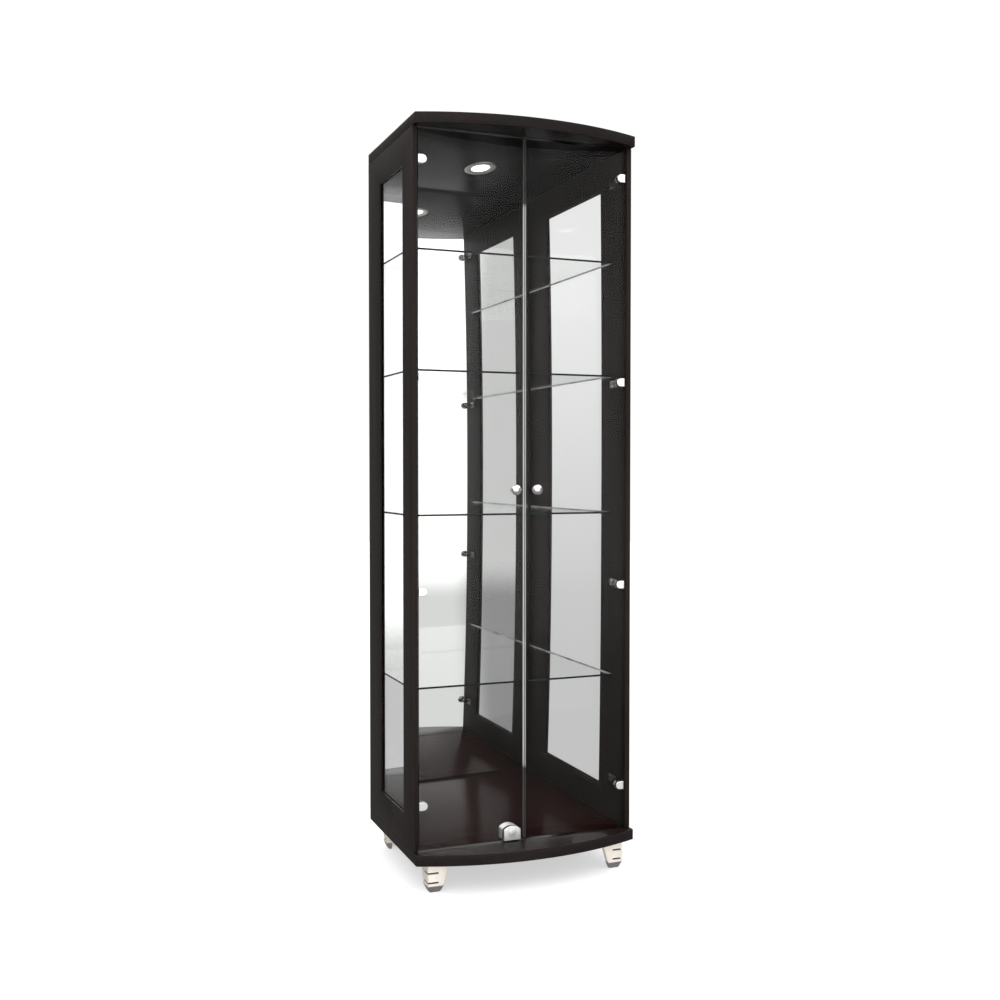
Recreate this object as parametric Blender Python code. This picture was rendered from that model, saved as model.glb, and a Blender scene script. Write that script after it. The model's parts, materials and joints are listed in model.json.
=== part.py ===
"""Tall display case: bowed top and base, two frameless glass doors, mirror back and four glass shelves.

Metres, +Z up. The case stands on Z = 0, its front faces -Y, and the origin is under the middle of its box.
"""

import math

import bmesh
import bpy
from mathutils import Matrix, Vector

# Case
CASE_WIDTH = 0.600
SIDE_DEPTH = 0.408
CASE_HEIGHT = 1.845
CORNER_OVERHANG = 0.021
BOW_RISE = 0.061
SLAB = 0.027
SIDE_PANEL = 0.013
GAP = 0.0003
SLAB_EASE = 0.0012
BOARD_EASE = 0.0007

# Side windows
FRONT_STILE = 0.085
REAR_STILE = 0.112
RAIL = 0.1065
WINDOW_LIP = 0.005
REBATE = 0.008
SIDE_GLASS = 0.004
SIDE_GLASS_EASE = 0.0004

# Back
BACK_RECESS = 0.020
BACK_PANEL = 0.006
MIRROR_GLASS = 0.004
MIRROR_MARGIN = 0.012
MIRROR_END_GAP = 0.003
MIRROR_EASE = 0.001

# Shelves, their heights above the underside of the base
SHELF_HEIGHTS = (0.4235, 0.862, 1.228, 1.5315)
SHELF_GLASS = 0.005
SHELF_SETBACK = 0.040
SHELF_END_GAP = 0.0025
SHELF_EASE = 0.0006
PIN_FRONT = 0.066
PIN_REAR = 0.348
PIN_RADIUS = 0.0025
PIN_HEAD_RADIUS = 0.004
PIN_HEAD = 0.009
PIN_STEM = 0.008
PIN_CLEARANCE = 0.0003
PIN_EASE = 0.0008

# Doors
DOOR_SETBACK = 0.004
DOOR_GLASS = 0.005
DOOR_EASE = 0.0005
DOOR_END_GAP = 0.004
DOOR_EDGE_GAP = 0.0025
MEETING_GAP = 0.0035

# Hinges, their heights above the underside of the base
HINGE_HEIGHTS = tuple(0.1400 + 0.5333 * i for i in range(4))
AXIS_FROM_WALL = 0.018
AXIS_DEPTH = 0.008
CAP_FLAT = 0.0148
CAP_RADIUS = 0.0105
CAP_CENTRE = 0.0033
CAP_PROUD = 0.0016
CAP_EASE = 0.0004
INNER_PLATE = 0.0015
INNER_FLAT = 0.0125
INNER_RADIUS = 0.0095
INNER_CENTRE = 0.0025
STUD_RADIUS = 0.0020
STUD_OFFSET = 0.0048
STUD_CLEARANCE = 0.0003
BARREL_RADIUS = 0.0023
BARREL_HALF = 0.004
LUG_RADIUS = 0.0026
LUG_LOW = 0.0045
LUG_HIGH = 0.0090
HINGE_PIN_RADIUS = 0.0011
HINGE_PIN_HALF = 0.0098
HINGE_PIN_HOLE = 0.0014
NOTCH_END = 0.0027
ARM_HALF = 0.00125
ARM_BACK = 0.0195
ARM_LEG = 0.003
WALL_PLATE = 0.0025
WALL_PLATE_LENGTH = 0.023

# Knobs
KNOB_OFFSET = 0.0295
KNOB_HEIGHT = 0.926
KNOB_STUD = 0.003
KNOB_RADIUS = 0.0135

# Lock
LOCK_OFFSET = 0.03625
LOCK_HEIGHT = 0.0505
LOCK_WIDTH = 0.0455
LOCK_FOOT = 0.0205
LOCK_SHOULDER = 0.0065
LOCK_ARCH = 0.0095
LOCK_FRONT = 0.0055
LOCK_REAR = 0.0135
LOCK_BARREL = 0.009
PLUG_HEAD_RADIUS = 0.0105
PLUG_HEAD = 0.0016
PLUG_RADIUS = 0.0061
PLUG_END = 0.0089
PLUG_EASE = 0.0006
KEYWAY = (0.0016, 0.0090, 0.0022)
BOLT = (0.0100, 0.0049, 0.0240)
BOLT_FRONT = 0.0096
BOLT_REST = 0.0005
BOLT_EASE = 0.0005
LOCK_EASE = 0.0008
STRIKE = (0.024, 0.0121, 0.0012)
STRIKE_POCKET = 0.0095

# Downlight
LIGHT_DEPTH = 0.190
BEZEL_RADIUS = 0.0411
BEZEL_BODY_RADIUS = 0.0340
BEZEL_BODY = 0.0120
LENS_RADIUS = 0.0232
LIGHT_POCKET = 0.0135
POCKET_CLEARANCE = 0.0008
WIRE_DROP = 0.002
WIRE_RADIUS = 0.003

# Feet
FOOT_HEIGHT = 0.072
FOOT_SIDE_INSET = 0.0315
FOOT_FRONT_INSET = 0.002
FOOT_REAR_INSET = 0.023
FOOT_LEVELS = (
    (GAP, 0.0, 0.0580),
    (0.053, 0.0, 0.0420),
    (0.072, 0.007, 0.0340),
)
SLOT_DROPS = (0.0225, 0.0465)
SLOT_HEIGHT = 0.0045
SLOT_LENGTHS = (0.028, 0.031)
SLOT_CUT = 0.003
FOOT_EASE = 0.0022
FOOT_WALL = 0.014

# Worked out from the driving dimensions
DEPTH = SIDE_DEPTH + CORNER_OVERHANG + BOW_RISE
Y_BACK = DEPTH / 2
Y_SIDE = Y_BACK - SIDE_DEPTH
Y_CORNER = Y_SIDE - CORNER_OVERHANG
X_OUT = CASE_WIDTH / 2
X_IN = X_OUT - SIDE_PANEL
Z_BASE = FOOT_HEIGHT
Z_FLOOR = Z_BASE + SLAB
Z_TOP = Z_BASE + CASE_HEIGHT
Z_CEILING = Z_TOP - SLAB
Y_DOOR = Y_SIDE + DOOR_SETBACK
Y_AXIS = Y_DOOR + AXIS_DEPTH
X_AXIS = X_IN - AXIS_FROM_WALL
Y_MIRROR = Y_BACK - BACK_RECESS - BACK_PANEL - GAP - MIRROR_GLASS
WINDOW_Y = (Y_SIDE + FRONT_STILE, Y_BACK - REAR_STILE)
WINDOW_Z = (Z_BASE + RAIL, Z_TOP - RAIL)
SIDES = (("left", -1), ("right", 1))
ROUND = 12
FINE_ROUND = 24
KNOB_SIDES = 16
FRONT_ARC_STEPS = 24


def clear_scene():
    for obj in list(bpy.data.objects):
        bpy.data.objects.remove(obj, do_unlink=True)


def finish(name, colour, roughness, metallic=0.0, transmission=0.0):
    mat = bpy.data.materials.new(name)
    mat.use_nodes = True
    shader = mat.node_tree.nodes["Principled BSDF"]
    shader.inputs["Base Color"].default_value = (*colour, 1.0)
    shader.inputs["Roughness"].default_value = roughness
    shader.inputs["Metallic"].default_value = metallic
    shader.inputs["Transmission Weight"].default_value = transmission
    mat.diffuse_color = (*colour, 1.0)
    return mat


# Shapes, each as a bmesh


def box(low, high):
    low, high = Vector(low), Vector(high)
    size = high - low
    place = Matrix.Translation((low + high) / 2) @ Matrix.Diagonal((*size, 1.0))
    bm = bmesh.new()
    bmesh.ops.create_cube(bm, size=1.0, matrix=place)
    return bm


def prism(outline, start, end, axis):
    """An outline of two coordinates, extruded along axis 1 (Y) or 2 (Z) from start to end."""
    bm = bmesh.new()
    corners = [(p[0], start, p[1]) if axis == 1 else (p[0], p[1], start) for p in outline]
    face = bm.faces.new([bm.verts.new(c) for c in corners])
    shift = Vector((0, end - start, 0)) if axis == 1 else Vector((0, 0, end - start))
    moved = bmesh.ops.extrude_face_region(bm, geom=[face])["geom"]
    bmesh.ops.translate(bm, verts=[v for v in moved if isinstance(v, bmesh.types.BMVert)], vec=shift)
    bmesh.ops.recalc_face_normals(bm, faces=bm.faces)
    return bm


def turned(profile, axis, sides=ROUND, ring=False):
    """A profile of (radius, height) points turned about axis 1 (Y) or 2 (Z). A ring's profile is a loop."""
    bm = bmesh.new()
    rows = []
    for radius, height in profile:
        count = 1 if radius == 0 else sides
        row = []
        for i in range(count):
            turn = 2 * math.pi * i / sides
            across, up = radius * math.cos(turn), radius * math.sin(turn)
            row.append(bm.verts.new((across, height, up) if axis == 1 else (across, up, height)))
        rows.append(row)
    pairs = list(zip(rows, rows[1:]))
    if ring:
        pairs.append((rows[-1], rows[0]))
    for near, far in pairs:
        for i in range(sides):
            after = i + 1
            quad = [near[i % len(near)], near[after % len(near)], far[after % len(far)], far[i % len(far)]]
            bm.faces.new(list(dict.fromkeys(quad)))
    bmesh.ops.recalc_face_normals(bm, faces=bm.faces)
    return bm


def rod(radius, start, end, centre, axis, sides=ROUND):
    bm = turned(((0, start), (radius, start), (radius, end), (0, end)), axis, sides)
    bmesh.ops.translate(bm, verts=bm.verts, vec=centre)
    return bm


def arc(centre, radius, start, end, steps):
    """Points on a circle in a plane, from one angle to another, both in degrees."""
    turns = [math.radians(start + (end - start) * i / steps) for i in range(steps + 1)]
    return [(centre[0] + radius * math.cos(t), centre[1] + radius * math.sin(t)) for t in turns]


# Objects


def place(name, bm, mat, location=(0, 0, 0), parent=None):
    mesh = bpy.data.meshes.new(name)
    bm.to_mesh(mesh)
    bm.free()
    obj = bpy.data.objects.new(name, mesh)
    bpy.context.scene.collection.objects.link(obj)
    obj.data.materials.append(mat)
    obj.location = location
    obj.parent = parent
    return obj


def combine(obj, shapes, operation):
    """Unites shapes with an object or cuts them from it, in the object's own coordinates."""
    tools = []
    for shape in shapes:
        tool = place("tool", shape, obj.data.materials[0], obj.location, obj.parent)
        tool.hide_render = True
        tool.display_type = "WIRE"
        modifier = obj.modifiers.new("combine", "BOOLEAN")
        modifier.operation = operation
        modifier.solver = "EXACT"
        modifier.object = tool
        tools.append(tool)
    bpy.context.view_layer.update()
    evaluated = obj.evaluated_get(bpy.context.evaluated_depsgraph_get())
    mesh = bpy.data.meshes.new_from_object(evaluated)
    obj.modifiers.clear()
    obj.data = mesh
    for tool in tools:
        bpy.data.objects.remove(tool, do_unlink=True)


def ease_edges(obj, width, segments=2, angle=35):
    modifier = obj.modifiers.new("eased_edges", "BEVEL")
    modifier.width = width
    modifier.segments = segments
    modifier.limit_method = "ANGLE"
    modifier.angle_limit = math.radians(angle)


def smooth(obj, angle=32):
    obj.data.shade_smooth()
    obj.data.set_sharp_from_angle(angle=math.radians(angle))


# Case


def bowed_outline():
    """The plan of the top and base: straight back and ends, and a front on one arc through both corners."""
    radius = (X_OUT ** 2 + BOW_RISE ** 2) / (2 * BOW_RISE)
    half = math.degrees(math.asin(X_OUT / radius))
    front = arc((0, Y_CORNER - BOW_RISE + radius), radius, 270 + half, 270 - half, FRONT_ARC_STEPS)
    return [(-X_OUT, Y_BACK), (X_OUT, Y_BACK), *front]


def lock_place():
    return (-LOCK_OFFSET, Y_DOOR, Z_BASE + LOCK_HEIGHT)


def bolt_y():
    return Y_DOOR + BOLT_FRONT + BOLT[1] / 2


def bolt_pocket(clearance, low, high):
    """The space that the bolt drops into, a little wider than the bolt."""
    x, y = -LOCK_OFFSET, bolt_y()
    wide, deep = BOLT[0] / 2 + clearance, BOLT[1] / 2 + clearance
    return box((x - wide, y - deep, low), (x + wide, y + deep, high))


def make_base(wood):
    obj = place("base_panel", prism(bowed_outline(), Z_BASE, Z_FLOOR, 2), wood)
    ease_edges(obj, SLAB_EASE, segments=1)
    combine(obj, [bolt_pocket(2 * GAP, Z_FLOOR - STRIKE_POCKET, Z_TOP)], "DIFFERENCE")


def make_top(wood):
    obj = place("top_panel", prism(bowed_outline(), Z_CEILING, Z_TOP, 2), wood)
    light = (0, Y_SIDE + LIGHT_DEPTH, 0)
    radius = BEZEL_BODY_RADIUS + POCKET_CLEARANCE
    pocket = rod(radius, Z_CEILING - SLAB, Z_CEILING + LIGHT_POCKET, light, 2, FINE_ROUND)
    wire_height = Z_CEILING + LIGHT_POCKET - WIRE_RADIUS - WIRE_DROP
    wire = rod(WIRE_RADIUS, Y_SIDE + LIGHT_DEPTH, Y_BACK + SLAB, (0, 0, wire_height), 1)
    ease_edges(obj, SLAB_EASE, segments=1)
    combine(obj, [pocket], "DIFFERENCE")
    combine(obj, [wire], "DIFFERENCE")


def pin_places():
    """Front and rear pin positions along Y."""
    return (("front", Y_SIDE + PIN_FRONT), ("rear", Y_SIDE + PIN_REAR))


def pin_height(shelf):
    return Z_BASE + SHELF_HEIGHTS[shelf] - SHELF_GLASS / 2 - GAP - PIN_HEAD_RADIUS


def across(side, near, far):
    """Low and high X of a piece that lies from near to far out from the middle, on one side."""
    ends = (side * near, side * far)
    return min(ends), max(ends)


def side_box(side, x_range, y_range, z_range):
    low_x, high_x = across(side, *x_range)
    return box((low_x, y_range[0], z_range[0]), (high_x, y_range[1], z_range[1]))


def grown(span, amount):
    return span[0] - amount, span[1] + amount


def pin_hole(side, y, z):
    low_x, high_x = across(side, X_IN - SIDE_PANEL, X_IN + PIN_STEM + PIN_CLEARANCE)
    bm = rod(PIN_RADIUS + PIN_CLEARANCE, low_x, high_x, (0, 0, 0), 2)
    bm.transform(Matrix.Translation((0, y, z)) @ Matrix.Rotation(math.pi / 2, 4, "Y"))
    return bm


def make_side_panel(name, side, wood):
    heights = (Z_FLOOR + GAP, Z_CEILING - GAP)
    obj = place(f"{name}_side_panel", side_box(side, (X_IN, X_OUT), (Y_SIDE, Y_BACK), heights), wood)
    window = side_box(side, (X_IN - SIDE_PANEL, X_OUT + SIDE_PANEL), WINDOW_Y, WINDOW_Z)
    seat = (X_IN - SIDE_PANEL, X_OUT - WINDOW_LIP)
    rebate = side_box(side, seat, grown(WINDOW_Y, REBATE), grown(WINDOW_Z, REBATE))
    holes = [pin_hole(side, y, pin_height(i)) for i in range(len(SHELF_HEIGHTS)) for _, y in pin_places()]
    combine(obj, [window, rebate], "DIFFERENCE")
    ease_edges(obj, BOARD_EASE, segments=1, angle=60)
    combine(obj, holes, "DIFFERENCE")


def make_side_glass(name, side, glass, wood):
    outer = X_OUT - WINDOW_LIP - GAP
    inner = outer - SIDE_GLASS
    spread = REBATE - 2 * GAP
    y_range, z_range = grown(WINDOW_Y, spread), grown(WINDOW_Z, spread)
    pane = place(f"{name}_side_glass", side_box(side, (inner, outer), y_range, z_range), glass)
    ease_edges(pane, SIDE_GLASS_EASE, segments=1)
    bead_span = (X_IN + GAP, inner - GAP)
    bead = place(f"{name}_glazing_bead", side_box(side, bead_span, y_range, z_range), wood)
    light = side_box(side, (X_IN - SIDE_PANEL, X_OUT), WINDOW_Y, WINDOW_Z)
    combine(bead, [light], "DIFFERENCE")
    ease_edges(bead, BOARD_EASE, segments=1)


def make_back(wood, silver):
    front = Y_BACK - BACK_RECESS - BACK_PANEL
    low = (-X_IN + GAP, front, Z_FLOOR + GAP)
    high = (X_IN - GAP, Y_BACK - BACK_RECESS, Z_CEILING - GAP)
    place("back_panel", box(low, high), wood)
    half = X_IN - MIRROR_MARGIN
    low = (-half, Y_MIRROR, Z_FLOOR + MIRROR_END_GAP)
    high = (half, Y_MIRROR + MIRROR_GLASS, Z_CEILING - MIRROR_END_GAP)
    pane = place("mirror", box(low, high), silver)
    ease_edges(pane, MIRROR_EASE, segments=1)


def make_shelf(index, glass):
    half = X_IN - SHELF_END_GAP
    middle = Z_BASE + SHELF_HEIGHTS[index]
    low = (-half, Y_SIDE + SHELF_SETBACK, middle - SHELF_GLASS / 2)
    high = (half, Y_MIRROR - SHELF_END_GAP, middle + SHELF_GLASS / 2)
    pane = place(f"shelf_{index + 1}", box(low, high), glass)
    ease_edges(pane, SHELF_EASE, segments=1)


def make_shelf_pin(index, name, side, where, y, plastic):
    """A peg with a round head; its origin is on the wall, and it is turned to point into the wall."""
    profile = (
        (0, -PIN_HEAD),
        (PIN_HEAD_RADIUS - PIN_EASE, -PIN_HEAD),
        (PIN_HEAD_RADIUS, -PIN_HEAD + PIN_EASE),
        (PIN_HEAD_RADIUS, -GAP),
        (PIN_RADIUS, -GAP),
        (PIN_RADIUS, PIN_STEM),
        (0, PIN_STEM),
    )
    title = f"shelf_pin_{index + 1}_{where}_{name}"
    obj = place(title, turned(profile, 2), plastic, (side * X_IN, y, pin_height(index)))
    obj.rotation_euler = (0, side * math.pi / 2, 0)
    smooth(obj)


def make_shelves(glass, plastic):
    for index in range(len(SHELF_HEIGHTS)):
        make_shelf(index, glass)
        for name, side in SIDES:
            for where, y in pin_places():
                make_shelf_pin(index, name, side, where, y, plastic)


# Feet


def foot_shape(side, end):
    """The outside of a foot. Its outer faces are upright, and its two ends lean in towards the floor."""
    bm = bmesh.new()
    rows = []
    for drop, inset, reach in FOOT_LEVELS:
        near, far = inset, reach
        plan = ((near, near), (far, near), (far, far), (near, far))
        rows.append([bm.verts.new((-side * a, -end * b, -drop)) for a, b in plan])
    for upper, lower in zip(rows, rows[1:]):
        for i in range(4):
            bm.faces.new((upper[i], upper[(i + 1) % 4], lower[(i + 1) % 4], lower[i]))
    bm.faces.new(rows[0])
    bm.faces.new(rows[-1])
    bmesh.ops.recalc_face_normals(bm, faces=bm.faces)
    return bm


def slot_cutter(side, end, drop):
    along, back = SLOT_LENGTHS
    out = -SLOT_CUT
    outline = (
        (out, out),
        (along, out),
        (along, SLOT_CUT),
        (SLOT_CUT, SLOT_CUT),
        (SLOT_CUT, back),
        (out, back),
    )
    turned_out = [(-side * a, -end * b) for a, b in outline]
    return prism(turned_out, -drop - SLOT_HEIGHT / 2, -drop + SLOT_HEIGHT / 2, 2)


def foot_hollow(side, end):
    """The open inner corner that leaves a foot as two walls in an L."""
    wall, beyond = FOOT_WALL, 2 * FOOT_HEIGHT
    corners = ((wall, wall), (beyond, wall), (beyond, beyond), (wall, beyond))
    return prism([(-side * a, -end * b) for a, b in corners], -beyond, FOOT_HEIGHT, 2)


def make_foot(name, side, where, end, y, metal):
    location = (side * (X_OUT - FOOT_SIDE_INSET), y, Z_BASE)
    obj = place(f"foot_{where}_{name}", foot_shape(side, end), metal, location)
    ease_edges(obj, FOOT_EASE, segments=2, angle=40)
    slots = [slot_cutter(side, end, drop) for drop in SLOT_DROPS]
    combine(obj, [foot_hollow(side, end), *slots], "DIFFERENCE")


def make_feet(metal):
    for name, side in SIDES:
        make_foot(name, side, "front", -1, Y_CORNER + FOOT_FRONT_INSET, metal)
        make_foot(name, side, "rear", 1, Y_BACK - FOOT_REAR_INSET, metal)


# Downlight


def make_downlight(metal, diffuser):
    place_at = (0, Y_SIDE + LIGHT_DEPTH, Z_CEILING)
    bore = LENS_RADIUS + GAP
    bezel = (
        (bore, -0.0012),
        (bore + 0.0030, -0.0030),
        (BEZEL_RADIUS - 0.0040, -0.0030),
        (BEZEL_RADIUS - 0.0010, -0.0022),
        (BEZEL_RADIUS, -0.0010),
        (BEZEL_RADIUS, -GAP),
        (BEZEL_BODY_RADIUS, -GAP),
        (BEZEL_BODY_RADIUS, BEZEL_BODY),
        (bore, BEZEL_BODY),
    )
    ring = place("downlight_bezel", turned(bezel, 2, FINE_ROUND, ring=True), metal, place_at)
    smooth(ring)
    lens = (
        (0, -0.0020),
        (LENS_RADIUS * 0.6, -0.0016),
        (LENS_RADIUS, -0.0006),
        (LENS_RADIUS, 0.0030),
        (0, 0.0030),
    )
    disc = place("downlight_lens", turned(lens, 2, FINE_ROUND), diffuser, place_at)
    smooth(disc)


# Doors. Pieces on a door hang from an empty on its hinge axis; u points from the axis to the meeting edge.


def hinge_axis(name, side):
    empty = bpy.data.objects.new(f"{name}_door_axis", None)
    bpy.context.scene.collection.objects.link(empty)
    empty.location = (side * X_AXIS, Y_AXIS, Z_BASE)
    return empty


def u_span(side, low, high):
    ends = (-side * low, -side * high)
    return min(ends), max(ends)


def u_box(side, u_range, v_range, w_range):
    low_x, high_x = u_span(side, *u_range)
    return box((low_x, v_range[0], w_range[0]), (high_x, v_range[1], w_range[1]))


def u_rod(side, radius, u, v_range, w):
    return rod(radius, v_range[0], v_range[1], (-side * u, 0, w), 1)


def make_door_glass(name, side, axis, glass):
    low_z, high_z = SLAB + DOOR_END_GAP, CASE_HEIGHT - SLAB - DOOR_END_GAP
    u_range = (DOOR_EDGE_GAP - AXIS_FROM_WALL, X_AXIS - MEETING_GAP / 2)
    v_range = (-AXIS_DEPTH, DOOR_GLASS - AXIS_DEPTH)
    obj = place(f"{name}_door_glass", u_box(side, u_range, v_range, (low_z, high_z)), glass, parent=axis)
    through = (-2 * AXIS_DEPTH, AXIS_DEPTH)
    stud = STUD_RADIUS + STUD_CLEARANCE
    holes = [u_rod(side, stud, STUD_OFFSET, through, w) for w in HINGE_HEIGHTS]
    holes.append(u_rod(side, KNOB_STUD + STUD_CLEARANCE, X_AXIS - KNOB_OFFSET, through, KNOB_HEIGHT))
    if side < 0:
        holes.append(u_rod(side, LOCK_BARREL + STUD_CLEARANCE, X_AXIS - LOCK_OFFSET, through, LOCK_HEIGHT))
    ease_edges(obj, DOOR_EASE, segments=1, angle=60)
    combine(obj, holes, "DIFFERENCE")


def d_outline(side, flat, radius, centre):
    """A D: flat towards the side panel and round towards the middle of the door."""
    nose = arc((-centre, 0), radius, -90, 90, 12)
    plan = [(-flat, radius), (-flat, -radius), *nose]
    return [(-side * u, w) for u, w in plan]


def make_hinge_clamp(name, side, number, axis, metal):
    """The door half of a hinge: front cap, stud through the glass, inner plate and two lugs round the pin."""
    cap_outline = d_outline(side, CAP_FLAT, CAP_RADIUS, CAP_CENTRE)
    inner_outline = d_outline(side, INNER_FLAT, INNER_RADIUS, INNER_CENTRE)
    cap_front = -AXIS_DEPTH - CAP_PROUD
    cap_back = -AXIS_DEPTH - GAP
    plate_front = DOOR_GLASS - AXIS_DEPTH + GAP
    plate_back = plate_front + INNER_PLATE
    location = (0, 0, HINGE_HEIGHTS[number])
    title = f"hinge_clamp_{name}_{number + 1}"
    obj = place(title, prism(cap_outline, cap_front, cap_back, 1), metal, location, axis)
    ease_edges(obj, CAP_EASE, segments=1, angle=50)
    plate = prism(inner_outline, plate_front, plate_back, 1)
    stud = u_rod(side, STUD_RADIUS, STUD_OFFSET, (cap_back - GAP, plate_back - GAP), 0)
    combine(obj, [plate, stud], "UNION")
    notch = u_box(side, (-2 * CAP_FLAT, NOTCH_END), (plate_front - GAP, AXIS_DEPTH), (-LUG_LOW, LUG_LOW))
    combine(obj, [notch], "DIFFERENCE")
    lugs = [rod(LUG_RADIUS, low, high, (0, 0, 0), 2) for low, high in lug_spans()]
    combine(obj, lugs, "UNION")
    combine(obj, [rod(HINGE_PIN_HOLE, -CAP_RADIUS, CAP_RADIUS, (0, 0, 0), 2)], "DIFFERENCE")


def lug_spans():
    return (LUG_LOW, LUG_HIGH), (-LUG_HIGH, -LUG_LOW)


def make_hinge_bracket(name, side, number, metal):
    """The case half of a hinge: wall plate, bent arm, barrel and pin. Its origin is on the hinge axis."""
    location = (side * X_AXIS, Y_AXIS, Z_BASE + HINGE_HEIGHTS[number])
    tall = (-BARREL_HALF, BARREL_HALF)
    knuckle = rod(BARREL_RADIUS, -BARREL_HALF, BARREL_HALF, (0, 0, 0), 2)
    obj = place(f"hinge_bracket_{name}_{number + 1}", knuckle, metal, location)
    arm = u_box(side, (-ARM_HALF, ARM_HALF), (ARM_HALF, ARM_BACK), tall)
    wall = -AXIS_FROM_WALL + GAP
    reach = u_box(side, (wall + ARM_HALF, ARM_HALF), (ARM_BACK - ARM_LEG, ARM_BACK), tall)
    plate_span = (ARM_BACK - ARM_LEG, ARM_BACK - ARM_LEG + WALL_PLATE_LENGTH)
    plate = u_box(side, (wall, wall + WALL_PLATE), plate_span, (-INNER_RADIUS, INNER_RADIUS))
    pin = rod(HINGE_PIN_RADIUS, -HINGE_PIN_HALF, HINGE_PIN_HALF, (0, 0, 0), 2)
    combine(obj, [arm, reach, plate, pin], "UNION")


def make_knob(name, side, axis, metal):
    """A knob with its screw through the glass, turned about Y. Its origin is on the door's front face."""
    head = KNOB_RADIUS
    dome = [(head * math.sin(t), -0.0145 - 0.0090 * math.cos(t)) for t in (0, 0.4, 0.8, 1.2, math.pi / 2)]
    profile = (
        *dome,
        (head * 0.94, -0.0110),
        (head * 0.74, -0.0080),
        (0.0060, -0.0060),
        (0.0055, -0.0035),
        (0.0080, -0.0018),
        (0.0080, -GAP),
        (KNOB_STUD, -GAP),
        (KNOB_STUD, DOOR_GLASS + GAP),
        (0.0065, DOOR_GLASS + GAP),
        (0.0065, DOOR_GLASS + 0.0020),
        (0.0045, DOOR_GLASS + 0.0032),
        (0, DOOR_GLASS + 0.0032),
    )
    location = (-side * (X_AXIS - KNOB_OFFSET), -AXIS_DEPTH, KNOB_HEIGHT)
    obj = place(f"{name}_knob", turned(profile, 1, KNOB_SIDES), metal, location, axis)
    smooth(obj)


# Lock, on the left door. Its pieces' origins are on the plug's axis, on the door's front face.


def lock_outline():
    half = LOCK_WIDTH / 2
    radius = (half ** 2 + LOCK_ARCH ** 2) / (2 * LOCK_ARCH)
    sweep = math.degrees(math.asin(half / radius))
    crown = arc((0, LOCK_SHOULDER + LOCK_ARCH - radius), radius, 90 - sweep, 90 + sweep, 12)
    return [(-half, -LOCK_FOOT), (half, -LOCK_FOOT), *crown]


def make_lock_housing(axis, metal):
    location = (X_AXIS - LOCK_OFFSET, -AXIS_DEPTH, LOCK_HEIGHT)
    outline = lock_outline()
    back_face = DOOR_GLASS + GAP
    front = prism(outline, -GAP - LOCK_FRONT, -GAP, 1)
    rear = prism(outline, back_face, back_face + LOCK_REAR, 1)
    barrel = rod(LOCK_BARREL, -LOCK_FRONT / 2, back_face + LOCK_FRONT / 2, (0, 0, 0), 1)
    obj = place("lock_housing", front, metal, location, axis)
    ease_edges(obj, LOCK_EASE, segments=1, angle=50)
    combine(obj, [rear, barrel], "UNION")
    bore = rod(PLUG_RADIUS + GAP, -DOOR_GLASS - LOCK_FRONT, BOLT_FRONT, (0, 0, 0), 1)
    half_wide = BOLT[0] / 2 + GAP
    channel_y = (BOLT_FRONT - GAP, BOLT_FRONT + BOLT[1] + GAP)
    channel = box((-half_wide, channel_y[0], -2 * LOCK_FOOT), (half_wide, channel_y[1], LOCK_SHOULDER))
    combine(obj, [bore, channel], "DIFFERENCE")
    return location


def make_lock_plug(axis, location, metal):
    face = -GAP - LOCK_FRONT
    head_back = face - GAP
    profile = (
        (0, head_back - PLUG_HEAD),
        (PLUG_HEAD_RADIUS - PLUG_EASE, head_back - PLUG_HEAD),
        (PLUG_HEAD_RADIUS, head_back - PLUG_HEAD + PLUG_EASE),
        (PLUG_HEAD_RADIUS, head_back),
        (PLUG_RADIUS, head_back),
        (PLUG_RADIUS, PLUG_END),
        (0, PLUG_END),
    )
    obj = place("lock_plug", turned(profile, 1), metal, location, axis)
    wide, tall, deep = KEYWAY
    front = head_back - PLUG_HEAD
    keyway = box((-wide / 2, front - deep, -tall / 2), (wide / 2, front + deep, tall / 2))
    combine(obj, [keyway], "DIFFERENCE")
    smooth(obj)


def make_lock_bolt(axis, location, metal):
    wide, deep, tall = BOLT
    foot = -LOCK_FOOT + BOLT_REST
    bar = box((-wide / 2, BOLT_FRONT, foot), (wide / 2, BOLT_FRONT + deep, foot + tall))
    obj = place("lock_bolt", bar, metal, location, axis)
    ease_edges(obj, BOLT_EASE, segments=1)


def make_lock_strike(metal):
    wide, deep, thick = STRIKE
    location = (-LOCK_OFFSET, bolt_y(), Z_FLOOR + GAP)
    plate = box((-wide / 2, -deep / 2, 0), (wide / 2, deep / 2, thick))
    obj = place("lock_strike", plate, metal, location)
    half_wide, half_deep = BOLT[0] / 2 + 2 * GAP, BOLT[1] / 2 + 2 * GAP
    combine(obj, [box((-half_wide, -half_deep, -thick), (half_wide, half_deep, 2 * thick))], "DIFFERENCE")


def make_lock(axis, metal, steel):
    location = make_lock_housing(axis, metal)
    make_lock_plug(axis, location, metal)
    make_lock_bolt(axis, location, steel)
    make_lock_strike(steel)


def make_doors(glass, cap_metal, steel, knob_metal):
    for name, side in SIDES:
        axis = hinge_axis(name, side)
        make_door_glass(name, side, axis, glass)
        for number in range(len(HINGE_HEIGHTS)):
            make_hinge_clamp(name, side, number, axis, cap_metal)
            make_hinge_bracket(name, side, number, steel)
        make_knob(name, side, axis, knob_metal)
        if side < 0:
            make_lock(axis, cap_metal, steel)


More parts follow.
